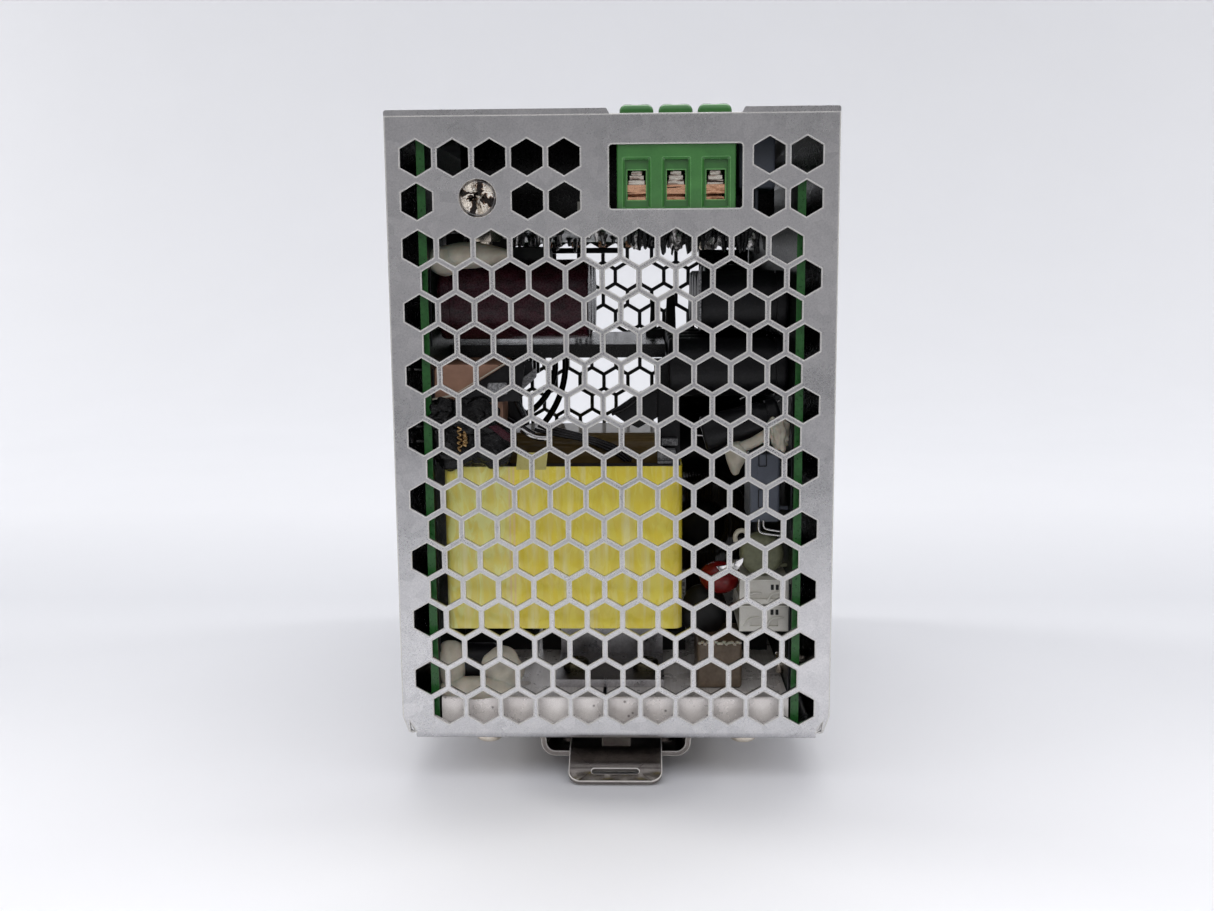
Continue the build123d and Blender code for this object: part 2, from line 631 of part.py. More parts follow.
def rail_latch():
    """Sliding latch: tooth for the rail at one end, pull tab bent out at the other."""
    low = LATCH_LOW
    high = LATCH_LOW + BRACKET_SHEET
    run = TAB_LENGTH * math.cos(math.radians(TAB_ANGLE))
    drop = TAB_LENGTH * math.sin(math.radians(TAB_ANGLE))
    lean_y = BRACKET_SHEET * math.sin(math.radians(TAB_ANGLE))
    lean_z = BRACKET_SHEET * math.cos(math.radians(TAB_ANGLE))
    bend_shift = BRACKET_SHEET * math.tan(math.radians(TAB_ANGLE / 2))
    side = [
        (0, NECK_Y, low),
        (0, TAB_BEND_Y + bend_shift, low),
        (0, TAB_BEND_Y - run + lean_y, high - drop - lean_z),
        (0, TAB_BEND_Y - run, high - drop),
        (0, TAB_BEND_Y, high),
        (0, NECK_Y, high),
    ]
    profile = Face(Wire.make_polygon(side, close=True))
    neck = extrude(profile, amount=NECK_HALF_WIDTH, dir=(1, 0, 0), both=True)
    tip = neck.faces().sort_by(Axis.Y)[0]
    corners = [e for e in tip.edges() if abs(abs(e.center().X) - NECK_HALF_WIDTH) < 0.01]
    neck = fillet(corners, TAB_CORNER)
    outer_bend = edges_at(neck, Axis.X, "Y", TAB_BEND_Y, "Z", high)
    neck = fillet(outer_bend, 1.9)
    inner_bend = edges_at(neck, Axis.X, "Y", TAB_BEND_Y + bend_shift, "Z", low)
    neck = fillet(inner_bend, 0.8)
    slot_y = TAB_BEND_Y - run + TAB_SLOT_INSET * math.cos(math.radians(TAB_ANGLE))
    slot_z = high - drop + TAB_SLOT_INSET * math.sin(math.radians(TAB_ANGLE))
    slot = Box(2 * TAB_SLOT_HALF, TAB_SLOT_WIDTH, 4 * BRACKET_SHEET)
    slot = rounded_edges(slot, Axis.Z, TAB_SLOT_WIDTH / 2 - 0.05)
    neck -= Pos(0, slot_y, slot_z) * Rot(TAB_ANGLE, 0, 0) * slot
    strip = block(-LATCH_HALF_WIDTH, LATCH_HALF_WIDTH, NECK_Y, LATCH_BACK_Y, low, high)
    strip = rounded_edges(strip, Axis.Z, 1.5)
    slider = neck + strip + block(-NECK_HALF_WIDTH, NECK_HALF_WIDTH, NECK_Y - 1, NECK_Y + 3, low, high)
    slider -= block(-3.2, 3.2, SPRING_STOP_Y - BRACKET_SHEET - SLIP, SPRING_PUSH_Y, 0, REAR_Z)
    slider += block(-3.0, 3.0, SPRING_PUSH_Y, SPRING_PUSH_Y + BRACKET_SHEET, low, 4.6)
    width = TOOTH_HALF_WIDTH
    leg_inner = TOOTH_LEG_Y + BRACKET_SHEET
    slider -= block(-width - 0.2, width + 0.2, leg_inner, -13.0, 0, REAR_Z)
    lip_low = -HOOK_GAP - BRACKET_SHEET
    tooth = block(-width, width, TOOTH_LEG_Y, leg_inner, lip_low, high)
    tooth += block(-width, width, TOOTH_LEG_Y, TOOTH_TIP_Y, lip_low, -HOOK_GAP)
    tooth = chamfer(edges_at(tooth, Axis.X, "Y", TOOTH_TIP_Y, "Z", lip_low), 0.8)
    return slider + tooth


def latch_spring():
    """Compression spring lying between the bracket's stop and the slider's tongue."""
    start = SPRING_STOP_Y + SPRING_WIRE + 0.1
    length = SPRING_PUSH_Y - SPRING_STOP_Y - 2 * SPRING_WIRE - 0.2
    path = Helix(pitch=length / SPRING_TURNS, height=length, radius=SPRING_RADIUS)
    wire = Plane(origin=path @ 0, z_dir=path % 0) * Circle(SPRING_WIRE)
    coil = sweep(wire, path=path, is_frenet=True)
    return Pos(0, start, SPRING_Z) * Rot(-90, 0, 0) * coil


def bracket_screws():
    seat = REAR_Z - SLIP - BRACKET_SHEET - 0.02
    return [Pos(x, y, seat) * Rot(180, 0, 0) * low_head_screw(7.5) for x, y in bracket_screw_places()]


def low_head_screw(length):
    """M3 screw with a thin head that stays inside the bracket's height."""
    head = Cylinder(M3_HEAD, 1.3, align=(Align.CENTER, Align.CENTER, Align.MIN))
    head = fillet(head.edges().sort_by(Axis.Z)[-1], 0.5)
    head -= Pos(0, 0, 1.3) * cross_recess(1.5, RECESS_WIDTH, 0.8)
    return head + rod_z(0, 0, -length, 0.0, M3_SHANK)


def heatsink_screws():
    seat = REAR_Z - 0.02
    return [Pos(x, y, seat) * Rot(180, 0, 0) * pan_screw(6.5) for x, y in rear_screw_places()]


# ---------------------------------------------------------------- terminal blocks
def pole_centres(poles):
    return [(index - (poles - 1) / 2) * POLE_PITCH for index in range(poles)]


def entry_funnel(x):
    """Wire entry: a lip that narrows into a straight recess, then the throat to the clamp."""
    middle = above_rear((ENTRY_LOW + ENTRY_HIGH) / 2)
    tall = ENTRY_HIGH - ENTRY_LOW
    lip_end = BLOCK_FRONT + ENTRY_LIP
    mouth = Plane((x, from_input_end(BLOCK_FRONT - 0.01), middle), x_dir=(1, 0, 0), z_dir=(0, 1, 0))
    neck = Plane((x, from_input_end(lip_end), middle), x_dir=(1, 0, 0), z_dir=(0, 1, 0))
    wide = mouth * RectangleRounded(ENTRY_WIDTH, tall, 0.3)
    narrow = neck * RectangleRounded(ENTRY_WIDTH - 2 * ENTRY_LIP, tall - 2 * ENTRY_LIP, 0.2)
    recess_half = ENTRY_WIDTH / 2 - ENTRY_LIP
    recess = inner_block(
        x - recess_half,
        x + recess_half,
        lip_end - 0.01,
        ENTRY_FLOOR,
        ENTRY_LOW + ENTRY_LIP,
        ENTRY_HIGH - ENTRY_LIP,
    )
    throat_half = THROAT_WIDTH / 2
    throat = inner_block(
        x - throat_half, x + throat_half, ENTRY_FLOOR - 0.01, THROAT_DEPTH + 0.01, THROAT_LOW, THROAT_HIGH
    )
    return loft([wide, narrow]) + recess + throat


def terminal_housing(poles):
    """Moulded housing with one wire entry and one screw funnel per pole, centred on x = 0."""
    half = poles * POLE_PITCH / 2
    body = inner_block(-half, half, BLOCK_FRONT, BLOCK_BACK, BLOCK_BASE, BLOCK_SHOULDER)
    body = rounded_edges(body, Axis.Z, 0.4)
    for x in pole_centres(poles):
        low = x - BUMP_WIDTH / 2
        bump = inner_block(
            low, low + BUMP_WIDTH, BUMP_FRONT, BLOCK_BACK - 0.4, BLOCK_SHOULDER - 0.5, BLOCK_TOP
        )
        bump = rounded_edges(bump, Axis.Z, 0.6)
        bump = fillet(bump.faces().sort_by(Axis.Z)[-1].edges(), BUMP_ROUND)
        body += bump
    for x in pole_centres(poles):
        body -= entry_funnel(x)
        body -= inner_block(
            x - CAVITY_HALF_WIDTH, x + CAVITY_HALF_WIDTH, THROAT_DEPTH, CAVITY_BACK, CAVITY_LOW, CAVITY_HIGH
        )
        screw_y = from_input_end(SCREW_DEPTH)
        body -= rod_z(x, screw_y, above_rear(CAVITY_LOW + 1), above_rear(BLOCK_TOP + 1), FUNNEL_RADIUS)
        body -= inner_block(
            x - 1.4, x + 1.4, BLADE_DEPTHS[0] - 0.4, BLADE_DEPTHS[1] + 0.4, BLOCK_BASE - 1, CAVITY_LOW + 1
        )
    return body


def terminal_contacts(poles):
    """Copper frames: wire bar below, threaded plate above, solder blade down to the board."""
    back = (UPRIGHT_FRONT, UPRIGHT_FRONT + 1.2)
    contacts = []
    for x in pole_centres(poles):
        frame = inner_block(x - 1.8, x + 1.8, 3.6, back[1], BAR_LOW, BAR_HIGH)
        frame += inner_block(x - 1.8, x + 1.8, *back, FLOOR_LOW, NUT_HIGH)
        frame += inner_block(x - 1.7, x + 1.7, 3.7, back[1], FLOOR_LOW, FLOOR_HIGH)
        frame += inner_block(x - 2.4, x + 2.4, 4.2, back[1], NUT_LOW, NUT_HIGH)
        frame += inner_block(x - 1.0, x + 1.0, *BLADE_DEPTHS, PIN_LOW, FLOOR_LOW)
        screw_y = from_input_end(SCREW_DEPTH)
        frame -= rod_z(x, screw_y, above_rear(NUT_LOW - 1), above_rear(NUT_HIGH + 1), M3_HOLE + SLIP)
        contacts.append(frame)
    return contacts


def terminal_clamp(x):
    """Stepped pressure plate that presses the conductor onto the copper bar."""
    plate = inner_block(x - 0.85, x + 0.85, 5.2, PLATE_BACK, PLATE_LOW, PLATE_HIGH)
    low = PLATE_LOW
    for half_width, front, rise in PLATE_TIERS:
        high = PLATE_LOW + rise
        plate += inner_block(x - half_width, x + half_width, front, PLATE_BACK, low, high - PLATE_GROOVE)
        low = high
    bore = rod_z(
        x,
        from_input_end(SCREW_DEPTH),
        above_rear(PLATE_LOW + 0.8),
        above_rear(PLATE_HIGH + 1),
        SWIVEL_RADIUS + SLIP,
    )
    saddle = rod_z(
        x, from_input_end(SCREW_DEPTH), above_rear(PLATE_LOW + 0.95), above_rear(PLATE_HIGH), 2.0
    )
    return plate + saddle - bore


def terminal_screw(x):
    """Clamp screw whose tip turns in the pressure plate."""
    y = from_input_end(SCREW_DEPTH)
    shoulder = above_rear(PLATE_HIGH) + 0.05
    screw = rod_z(x, y, above_rear(PLATE_LOW + 0.9), shoulder + 0.1, SWIVEL_RADIUS)
    screw += rod_z(x, y, shoulder, above_rear(TERMINAL_HEAD_LOW) + 0.1, TERMINAL_SHANK_RADIUS)
    head = rod_z(x, y, above_rear(TERMINAL_HEAD_LOW), above_rear(TERMINAL_HEAD_HIGH), TERMINAL_HEAD_RADIUS)
    head = fillet(head.edges().sort_by(Axis.Z)[-1], 0.35)
    screw += head
    recess = block(-3.0, 3.0, -0.4, 0.4, -0.9, 1.0) + cross_recess(1.5, 0.7, 1.2)
    return screw - Pos(x, y, above_rear(TERMINAL_HEAD_HIGH)) * Rot(0, 0, 30) * recess


def input_block(shape):
    return Pos(INPUT_BLOCK_X, 0, 0) * shape


def output_block(shape):
    return Pos(OUTPUT_BLOCK_X, 0, 0) * Rot(0, 0, 180) * shape


def terminal_pin_places():
    """Board positions of the solder blades of both blocks."""
    depth = (BLADE_DEPTHS[0] + BLADE_DEPTHS[1]) / 2
    places = []
    for x in pole_centres(INPUT_POLES):
        places.append((INPUT_BLOCK_X + x, from_input_end(depth)))
    for x in pole_centres(OUTPUT_POLES):
        places.append((OUTPUT_BLOCK_X + x, -from_input_end(depth)))
    return places


# ---------------------------------------------------------------- boards and their fixings
def power_board():
    board = inner_block(
        POWER_BOARD_X, POWER_BOARD_X + BOARD, BOARD_FRONT, BOARD_BACK, SIDE_BOARD_LOW, POWER_BOARD_HIGH
    )
    for y in FIXING_YS:
        board -= rod_x(-CASE_WIDTH, 0, y, above_rear(FIXING_HEIGHT), M3_CLEARANCE)
    return board


def secondary_board():
    board = inner_block(
        SECONDARY_BOARD_X,
        SECONDARY_BOARD_X + BOARD,
        BOARD_FRONT,
        BOARD_BACK,
        SIDE_BOARD_LOW,
        SECONDARY_BOARD_HIGH,
    )
    for y in FIXING_YS:
        board -= rod_x(0, CASE_WIDTH, y, above_rear(FIXING_HEIGHT), M3_CLEARANCE)
    return board


def terminal_board():
    board = inner_block(
        *TERMINAL_BOARD_X, BOARD_FRONT - 0.5, BOARD_BACK + 0.5, TERMINAL_BOARD_LOW, TERMINAL_BOARD_LOW + BOARD
    )
    low = above_rear(TERMINAL_BOARD_LOW - 1)
    high = above_rear(TERMINAL_BOARD_LOW + BOARD + 1)
    for x, y in terminal_pin_places():
        board -= rod_z(x, y, low, high, 1.25)
    for x, y in bracket_foot_places():
        board -= rod_z(x, y, low, high, M3_CLEARANCE)
    return board


def bracket_foot_places():
    return [
        (END_SCREW_X, from_input_end(BRACKET_FOOT_DEPTH)),
        (OUTPUT_SCREW_X, -from_input_end(BRACKET_FOOT_DEPTH)),
    ]


def board_spacers():
    """Round threaded spacers between the side flanges and the upright boards."""
    spacers = []
    flange = CHASSIS_HALF_WIDTH - SHEET - SLIP / 2
    for y in FIXING_YS:
        z = above_rear(FIXING_HEIGHT)
        left = rod_x(-flange, POWER_BOARD_X - SLIP / 2, y, z, 2.75)
        spacers.append(left - rod_x(-CASE_WIDTH, 0, y, z, M3_HOLE))
        right = rod_x(SECONDARY_BOARD_X + BOARD + SLIP / 2, flange, y, z, 2.75)
        spacers.append(right - rod_x(0, CASE_WIDTH, y, z, M3_HOLE))
    return spacers


def board_screws():
    """Screws through the upright boards into the spacers, and down through the bracket feet."""
    screws = []
    z = above_rear(FIXING_HEIGHT)
    for y in FIXING_YS:
        inner_left = POWER_BOARD_X + BOARD + SLIP / 2
        screws.append(Pos(inner_left, y, z) * Rot(0, 90, 0) * small_head_screw(3.1))
        inner_right = SECONDARY_BOARD_X - SLIP / 2
        screws.append(Pos(inner_right, y, z) * Rot(0, -90, 0) * small_head_screw(3.1))
    foot_top = above_rear(TERMINAL_BOARD_LOW + BOARD + SLIP + 1.2 + SLIP / 2)
    for x, y in bracket_foot_places():
        screws.append(Pos(x, y, foot_top) * pan_screw(6.0))
        nut = extrude(RegularPolygon(3.1, 6), amount=2.3) - Cylinder(M3_HOLE, 10)
        screws.append(Pos(x, y, above_rear(TERMINAL_BOARD_LOW) - SLIP / 2 - 2.3) * nut)
    return screws


def small_head_screw(length):
    head = Cylinder(2.4, 1.6, align=(Align.CENTER, Align.CENTER, Align.MIN))
    head = fillet(head.edges().sort_by(Axis.Z)[-1], 0.7)
    head -= Pos(0, 0, 1.6) * cross_recess(1.4, RECESS_WIDTH, 0.9)
    return head + rod_z(0, 0, -length, 0.0, M3_SHANK)


# ---------------------------------------------------------------- parts inside
def transformer_core():
    """Ferrite block with the window that the coil fills."""
    x_low, x_high, d_low, d_high, h_low, h_high = TRANSFORMER
    tape = 0.35
    core = inner_block(
        x_low + tape, x_high - tape, d_low + tape, d_high - tape, h_low + 0.4, h_high - 0.4
    )
    core = rounded_edges(core, Axis.Z, 1.6)
    wx_low, wx_high, wd_low, wd_high = WINDING[:4]
    slip = 0.1
    core -= inner_block(
        wx_low - slip, wx_high + slip, wd_low - slip, wd_high + slip, h_low - 1, h_high + 1
    )
    middle = (wd_low + wd_high) / 2
    leg = inner_block(wx_low - 1, wx_high + 1, middle - 5.0, middle + 5.0, 30.0, 46.0)
    return core + leg


def transformer_tape():
    """Yellow tape wrapped round the core."""
    x_low, x_high, d_low, d_high, h_low, h_high = TRANSFORMER
    tape = 0.3
    band = inner_block(x_low, x_high, d_low, d_high, h_low, h_high)
    band = rounded_edges(band, Axis.Z, 2.0)
    inside = inner_block(
        x_low + tape, x_high - tape, d_low + tape, d_high - tape, h_low - 1, h_high + 1
    )
    return band - rounded_edges(inside, Axis.Z, 1.7)


def transformer_winding():
    """Coil on its former, standing out above and below the core."""
    wx_low, wx_high, wd_low, wd_high, wh_low, wh_high = WINDING
    coil = inner_block(wx_low, wx_high, wd_low, wd_high, wh_low, wh_high)
    coil = rounded_edges(coil, Axis.X, 4.0)
    middle = (wd_low + wd_high) / 2
    coil -= inner_block(wx_low - 1, wx_high + 1, middle - 5.1, middle + 5.1, 29.9, 46.1)
    return coil


def power_inductor():
    """Gapped core choke wrapped in heat resistant tape."""
    x_low, x_high, d_low, d_high, h_low, h_high = INDUCTOR
    bobbin = inner_block(x_low, x_high, d_low + 2, d_high - 2, h_low + 4, h_high - 0.2)
    bobbin = rounded_edges(bobbin, Axis.X, 3.5)
    flange_front = rounded_edges(inner_block(x_low, x_high, d_low, d_low + 2.4, h_low, h_high), Axis.Y, 1.5)
    flange_back = rounded_edges(inner_block(x_low, x_high, d_high - 2.4, d_high, h_low, h_high), Axis.Y, 1.5)
    return bobbin + flange_front + flange_back


def cross_heatsink():
    """Black plate across the case with a folded edge against the power board."""
    x_low, x_high, d_low, d_high, h_low, h_high = CROSS_PLATE
    plate = inner_block(x_low, x_high, d_low, d_high, h_low, h_high)
    for fin in range(5):
        start = d_low + 6.0 + fin * 10.0
        plate += inner_block(x_low + 2, x_high - 31, start, start + 1.5, h_low - 7.0, h_low)
    return plate


def heatsink_bar(envelope):
    """Flat aluminium bar bolted to the rear wall, with its front lower edge eased."""
    bar = inner_block(*envelope)
    bar = rounded_edges(bar, Axis.X, 0.5)
    for x, y in bracket_screw_places() + rear_screw_places() + link_screw_places():
        if envelope[0] < x < envelope[1]:
            bar -= rod_z(x, y, 0, 2 * REAR_Z + 10, M3_HOLE)
    return bar


def link_screw_places():
    return [(x, from_input_end(LINK_SCREW_DEPTH)) for x in LINK_SCREW_XS]


def heatsink_link_plate():
    """Steel plate that ties the two heat sink bars together, turned up at the back."""
    x_low, x_high, d_low, d_high, h_low, h_high = LINK_PLATE
    plate = inner_block(*LINK_PLATE)
    plate += inner_block(x_low, x_high, d_high - 1.6, d_high, h_low, 17.0)
    for x, y in link_screw_places():
        plate -= rod_z(x, y, 0, above_rear(h_high + 1), M3_CLEARANCE)
    return plate


def link_plate_screws():
    seat = above_rear(LINK_PLATE[5]) + SLIP / 2
    return [Pos(x, y, seat) * pan_screw(5.0) for x, y in link_screw_places()]


def power_transistors():
    """Flat power packages lying on the heat sink bars, leads towards the output end."""
    packages = []
    front, back = TRANSISTOR_DEPTHS
    for x in TRANSISTOR_CENTRES:
        base = LEFT_BAR[5] + SLIP
        body = inner_block(x - 7.8, x + 7.8, front, back, base, base + 5.0)
        body = chamfer(body.faces().sort_by(Axis.Z)[-1].edges(), 0.6)
        body -= rod_z(x, from_input_end(front + 6.0), 0, CASE_DEPTH, 1.8)
        for step in (-1, 0, 1):
            lead_x = x + step * 5.45
            body += inner_block(lead_x - 0.6, lead_x + 0.6, back - 0.5, back + 12.0, base + 2.2, base + 2.8)
        packages.append(body)
    return packages


def can(x_low, x_high, y, z, radius, sign):
    """Electrolytic can lying along X with a rolled groove and a ring at its base end."""
    body = rod_x(x_low, x_high, y, z, radius)
    body = fillet(body.edges().filter_by(GeomType.CIRCLE), 0.8)
    base = x_high if sign > 0 else x_low
    groove_x = base - sign * 3.0
    ring = rod_x(groove_x - 0.6, groove_x + 0.6, y, z, radius + 1) - rod_x(
        groove_x - 1, groove_x + 1, y, z, radius - 0.5
    )
    return body - ring


def bulk_capacitors():
    z = above_rear(BULK_HEIGHT)
    return [can(*BULK_X, from_input_end(depth), z, BULK_RADIUS, -1) for depth in BULK_DEPTHS]


def output_capacitors():
    cans = []
    for left, right, height in OUTPUT_CAN_TIERS:
        for depth in OUTPUT_CAN_DEPTHS:
            cans.append(
                can(left, right, from_input_end(depth), above_rear(height), OUTPUT_CAN_RADIUS, 1)
            )
    for left, right, height in REAR_CAN_TIERS:
        for depth in REAR_CAN_DEPTHS:
            y = from_input_end(depth)
            cans.append(can(left, right, y, above_rear(height), REAR_CAN_RADIUS, 1))
    return cans


def output_choke():
    """Wound ring standing on a moulded foot behind the output rectifiers."""
    x, depth, height = RING_CENTRE
    inner, outer = RING_RADII
    near = from_input_end(depth) - RING_HALF_WIDTH
    far = from_input_end(depth) + RING_HALF_WIDTH
    ring = rod_y(x, near, far, above_rear(height), outer)
    ring -= rod_y(x, near - 1, far + 1, above_rear(height), inner)
    ring = fillet(ring.edges().filter_by(GeomType.CIRCLE), 2.0)
    return ring + rounded_edges(inner_block(*RING_BASE), Axis.Z, 0.6)


def small_capacitors():
    """Small electrolytic cans: one tilted at the right, one low at the left."""
    tilt = 14.0
    long_can = can(-8.0, 8.0, 0, 0, SMALL_CAN_RADIUS, 1)
    tilted = Pos(25.6, from_input_end(12.0), above_rear(62.2)) * Rot(0, -tilt, 0) * long_can
    low_can = can(-35.3, -24.5, from_input_end(9.5), above_rear(13.5), SMALL_CAN_RADIUS, -1)
    return [tilted, low_can]


def boxed(envelope, radius):
    return rounded_all(inner_block(*envelope), radius)


def film_capacitor():
    return boxed(FILM_BODY, 0.8)


def box_capacitor():
    x_low, x_high, d_low, d_high, h_low, h_high = BOX_BODY
    body = boxed(BOX_BODY, 0.6)
    pad = inner_block(x_low + 1.5, x_low + 3.0, d_low - 0.25, d_low + 1, 51.0, 54.2)
    leads = rod_x(x_high - 1, SECONDARY_BOARD_X - 0.05, from_input_end(12.0), above_rear(45.0), 0.4)
    leads += rod_x(x_high - 1, SECONDARY_BOARD_X - 0.05, from_input_end(12.0), above_rear(54.0), 0.4)
    return body + pad + leads


def signal_connectors():
    """Two white headers with polarising ribs, one above the other."""
    x_low, x_high, d_low, d_high, h_low, h_high = CONNECTOR_BODY
    middle = (h_low + h_high) / 2
    headers = []
    for low, high in ((h_low, middle - 0.15), (middle + 0.15, h_high)):
        shell = rounded_edges(inner_block(x_low, x_high, d_low, d_high, low, high), Axis.X, 0.4)
        shell -= inner_block(x_low - 1, x_high - 2.5, d_low + 1, d_high - 1, low + 0.9, high - 0.9)
        shell -= inner_block(x_low + 2.2, x_high - 2.0, d_low - 1, d_low + 0.6, low + 1.2, low + 2.4)
        headers.append(shell)
    return headers


def thermistor():
    x, depth, height = THERMISTOR_CENTRE
    y = from_input_end(depth)
    disc = rod_y(x, y - 2.0, y + 2.0, above_rear(height), THERMISTOR_RADIUS)
    disc = fillet(disc.edges().filter_by(GeomType.CIRCLE), 1.4)
    for step in (-2.5, 2.5):
        disc += rod_x(x, SECONDARY_BOARD_X - 0.05, y, above_rear(height) + step, 0.4)
    return disc


def x_capacitor():
    body = boxed(X_CAPACITOR, 0.6)
    x = (X_CAPACITOR[0] + X_CAPACITOR[1]) / 2
    board_top = above_rear(TERMINAL_BOARD_LOW + BOARD) + SLIP
    for depth in (X_CAPACITOR[2] + 1.5, X_CAPACITOR[3] - 1.5):
        body += rod_z(x, from_input_end(depth), board_top, above_rear(X_CAPACITOR[4]) + 1, 0.4)
    return body


def common_mode_choke():
    """Toroid on the terminal board: ring core with two bundles of turns."""
    x, depth, height = CHOKE_CENTRE
    inner, outer = CHOKE_RADII
    y = from_input_end(depth)
    low = above_rear(height)
    ring = rod_z(x, y, low, low + CHOKE_HEIGHT, outer) - rod_z(x, y, low - 1, low + CHOKE_HEIGHT + 1, inner)
    ring = fillet(ring.edges().filter_by(GeomType.CIRCLE), 1.0)
    base = block(x - 9, x + 9, y - 9, y + 9, above_rear(TERMINAL_BOARD_LOW + BOARD) + SLIP, low + 0.5)
    return ring + base


def line_fuse():
    x, depth, height = FUSE_CENTRE
    y = from_input_end(depth)
    z = above_rear(height)
    half = FUSE_LENGTH / 2
    tube = rod_y(x, y - half + 4, y + half - 4, z, FUSE_RADIUS - 0.2)
    fuse = tube
    for end in (-1, 1):
        cap_low = y + end * (half - 2.5) - 2.5
        fuse += rod_y(x, cap_low, cap_low + 5.0, z, FUSE_RADIUS)
        clip_low = y + end * (half - 2.5) - 1.5
        board_top = above_rear(TERMINAL_BOARD_LOW + BOARD) + SLIP
        fuse += block(x - 3.1, x + 3.1, clip_low, clip_low + 3.0, board_top, z - 0.6)
    return fuse


def wire(points, radius):
    """Insulated wire through a list of (x, depth, height) points."""
    route = [Vector(x, from_input_end(depth), above_rear(height)) for x, depth, height in points]
    path = Spline(*route)
    section = Plane(origin=path @ 0, z_dir=path % 0) * Circle(radius)
    return sweep(section, path=path)


def wire_harness():
    """Sensor wires that rise from the power board to the underside of the cross plate."""
    right_run = [(-35.0, 58.0, 50.0), (-18.3, 62.6, 56.5), (-14.3, 62.6, 63.3), (-13.1, 62.6, 74.2)]
    left_run = [(-35.0, 66.0, 57.0), (-20.5, 66.0, 60.0), (-17.0, 66.0, 64.5), (-16.2, 66.0, 74.2)]
    return [wire(right_run, 0.75), wire(left_run, 0.75)]


# ---------------------------------------------------------------- front controls
def adjuster_body():
    x, y = ADJUSTER_XY
    half = ADJUSTER_BODY_SIDE / 2
    top = above_rear(ADJUSTER_BODY_HIGH)
    body = block(
        x - half, x + half, y - half, y + half, above_rear(TERMINAL_BOARD_LOW + BOARD) + SLIP, top
    )
    body = rounded_edges(body, Axis.Z, 0.6)
    return body - rod_z(x, y, top - 4.0, top + 1, ADJUSTER_PIN + SLIP)


def adjuster_rotor():
    x, y = ADJUSTER_XY
    base = above_rear(ADJUSTER_BODY_HIGH)
    top = above_rear(CASE_DEPTH) + 0.6
    rotor = rod_z(x, y, base + SLIP, top, ADJUSTER_SHAFT)
    rotor = fillet(rotor.edges().sort_by(Axis.Z)[-1], 0.4)
    rotor += rod_z(x, y, base - 3.9, base + 1, ADJUSTER_PIN)
    return rotor - block(x - 3, x + 3, y - 0.4, y + 0.4, top - 0.9, top + 1)


def status_led():
    x, y = LED_XY
    top = above_rear(CASE_DEPTH) + 0.8
    base = above_rear(114.0)
    lens = rod_z(x, y, base, top, LED_RADIUS)
    lens = fillet(lens.edges().sort_by(Axis.Z)[-1], LED_RADIUS - 0.15)
    lens += rod_z(x, y, base - 1.0, base, LED_RADIUS + 0.4)
    for step in (-1.27 / 2, 1.27 / 2):
        board_top = above_rear(TERMINAL_BOARD_LOW + BOARD) + SLIP
        lens += rod_z(x + step, y, board_top, base, 0.3)
    return lens


def nodes():
    """Every node name with its solid or list of solids."""
    found = {
        "chassis": chassis(),
        "cover": cover(),
        "front_label": front_label(),
        "cover_screws": cover_screws(),
        "end_wall_screws": end_wall_screws(),
        "terminal_board_brackets": terminal_board_brackets(),
        "insulation_sheets": insulation_sheets(),
        "rail_bracket": rail_bracket(),
        "rail_latch": rail_latch(),
        "latch_spring": latch_spring(),
        "bracket_screws": bracket_screws(),
        "heatsink_screws": heatsink_screws(),
        "input_terminal_housing": input_block(terminal_housing(INPUT_POLES)),
        "input_contacts": [input_block(c) for c in terminal_contacts(INPUT_POLES)],
        "output_terminal_housing": output_block(terminal_housing(OUTPUT_POLES)),
        "output_contacts": [output_block(c) for c in terminal_contacts(OUTPUT_POLES)],
        "power_board": power_board(),
        "secondary_board": secondary_board(),
        "terminal_board": terminal_board(),
        "board_spacers": board_spacers(),
        "board_screws": board_screws(),
        "transformer_core": transformer_core(),
        "transformer_tape": transformer_tape(),
        "transformer_winding": transformer_winding(),
        "power_inductor": power_inductor(),
        "cross_heatsink": cross_heatsink(),
        "heatsink_left": heatsink_bar(LEFT_BAR),
        "heatsink_right": heatsink_bar(RIGHT_BAR),
        "heatsink_link_plate": heatsink_link_plate(),
        "link_plate_screws": link_plate_screws(),
        "power_transistors": power_transistors(),
        "bulk_capacitors": bulk_capacitors(),
        "output_capacitors": output_capacitors(),
        "small_capacitors": small_capacitors(),
        "film_capacitor": film_capacitor(),
        "box_capacitor": box_capacitor(),
        "signal_connectors": signal_connectors(),
        "thermistor": thermistor(),
        "x_capacitor": x_capacitor(),
        "common_mode_choke": common_mode_choke(),
        "line_fuse": line_fuse(),
        "output_choke": output_choke(),
        "wire_harness": wire_harness(),
        "adjuster_body": adjuster_body(),
        "adjuster_rotor": adjuster_rotor(),
        "status_led": status_led(),
    }
    for index, x in enumerate(pole_centres(INPUT_POLES), start=1):
        found[f"input_clamp_{index}"] = input_block(terminal_clamp(x))
        found[f"input_screw_{index}"] = input_block(terminal_screw(x))
    for index, x in enumerate(pole_centres(OUTPUT_POLES), start=1):
        found[f"output_clamp_{index}"] = output_block(terminal_clamp(x))
        found[f"output_screw_{index}"] = output_block(terminal_screw(x))
    return found


os.makedirs("parts", exist_ok=True)
for name, shape in nodes().items():
    if isinstance(shape, list):
        solids = [solid for item in shape for solid in item.solids()]
        shape = Compound(children=solids)
    export_step(shape, f"parts/{name}.step")
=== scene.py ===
import math
import random

import bmesh
import bpy
from mathutils import Matrix, Vector, noise


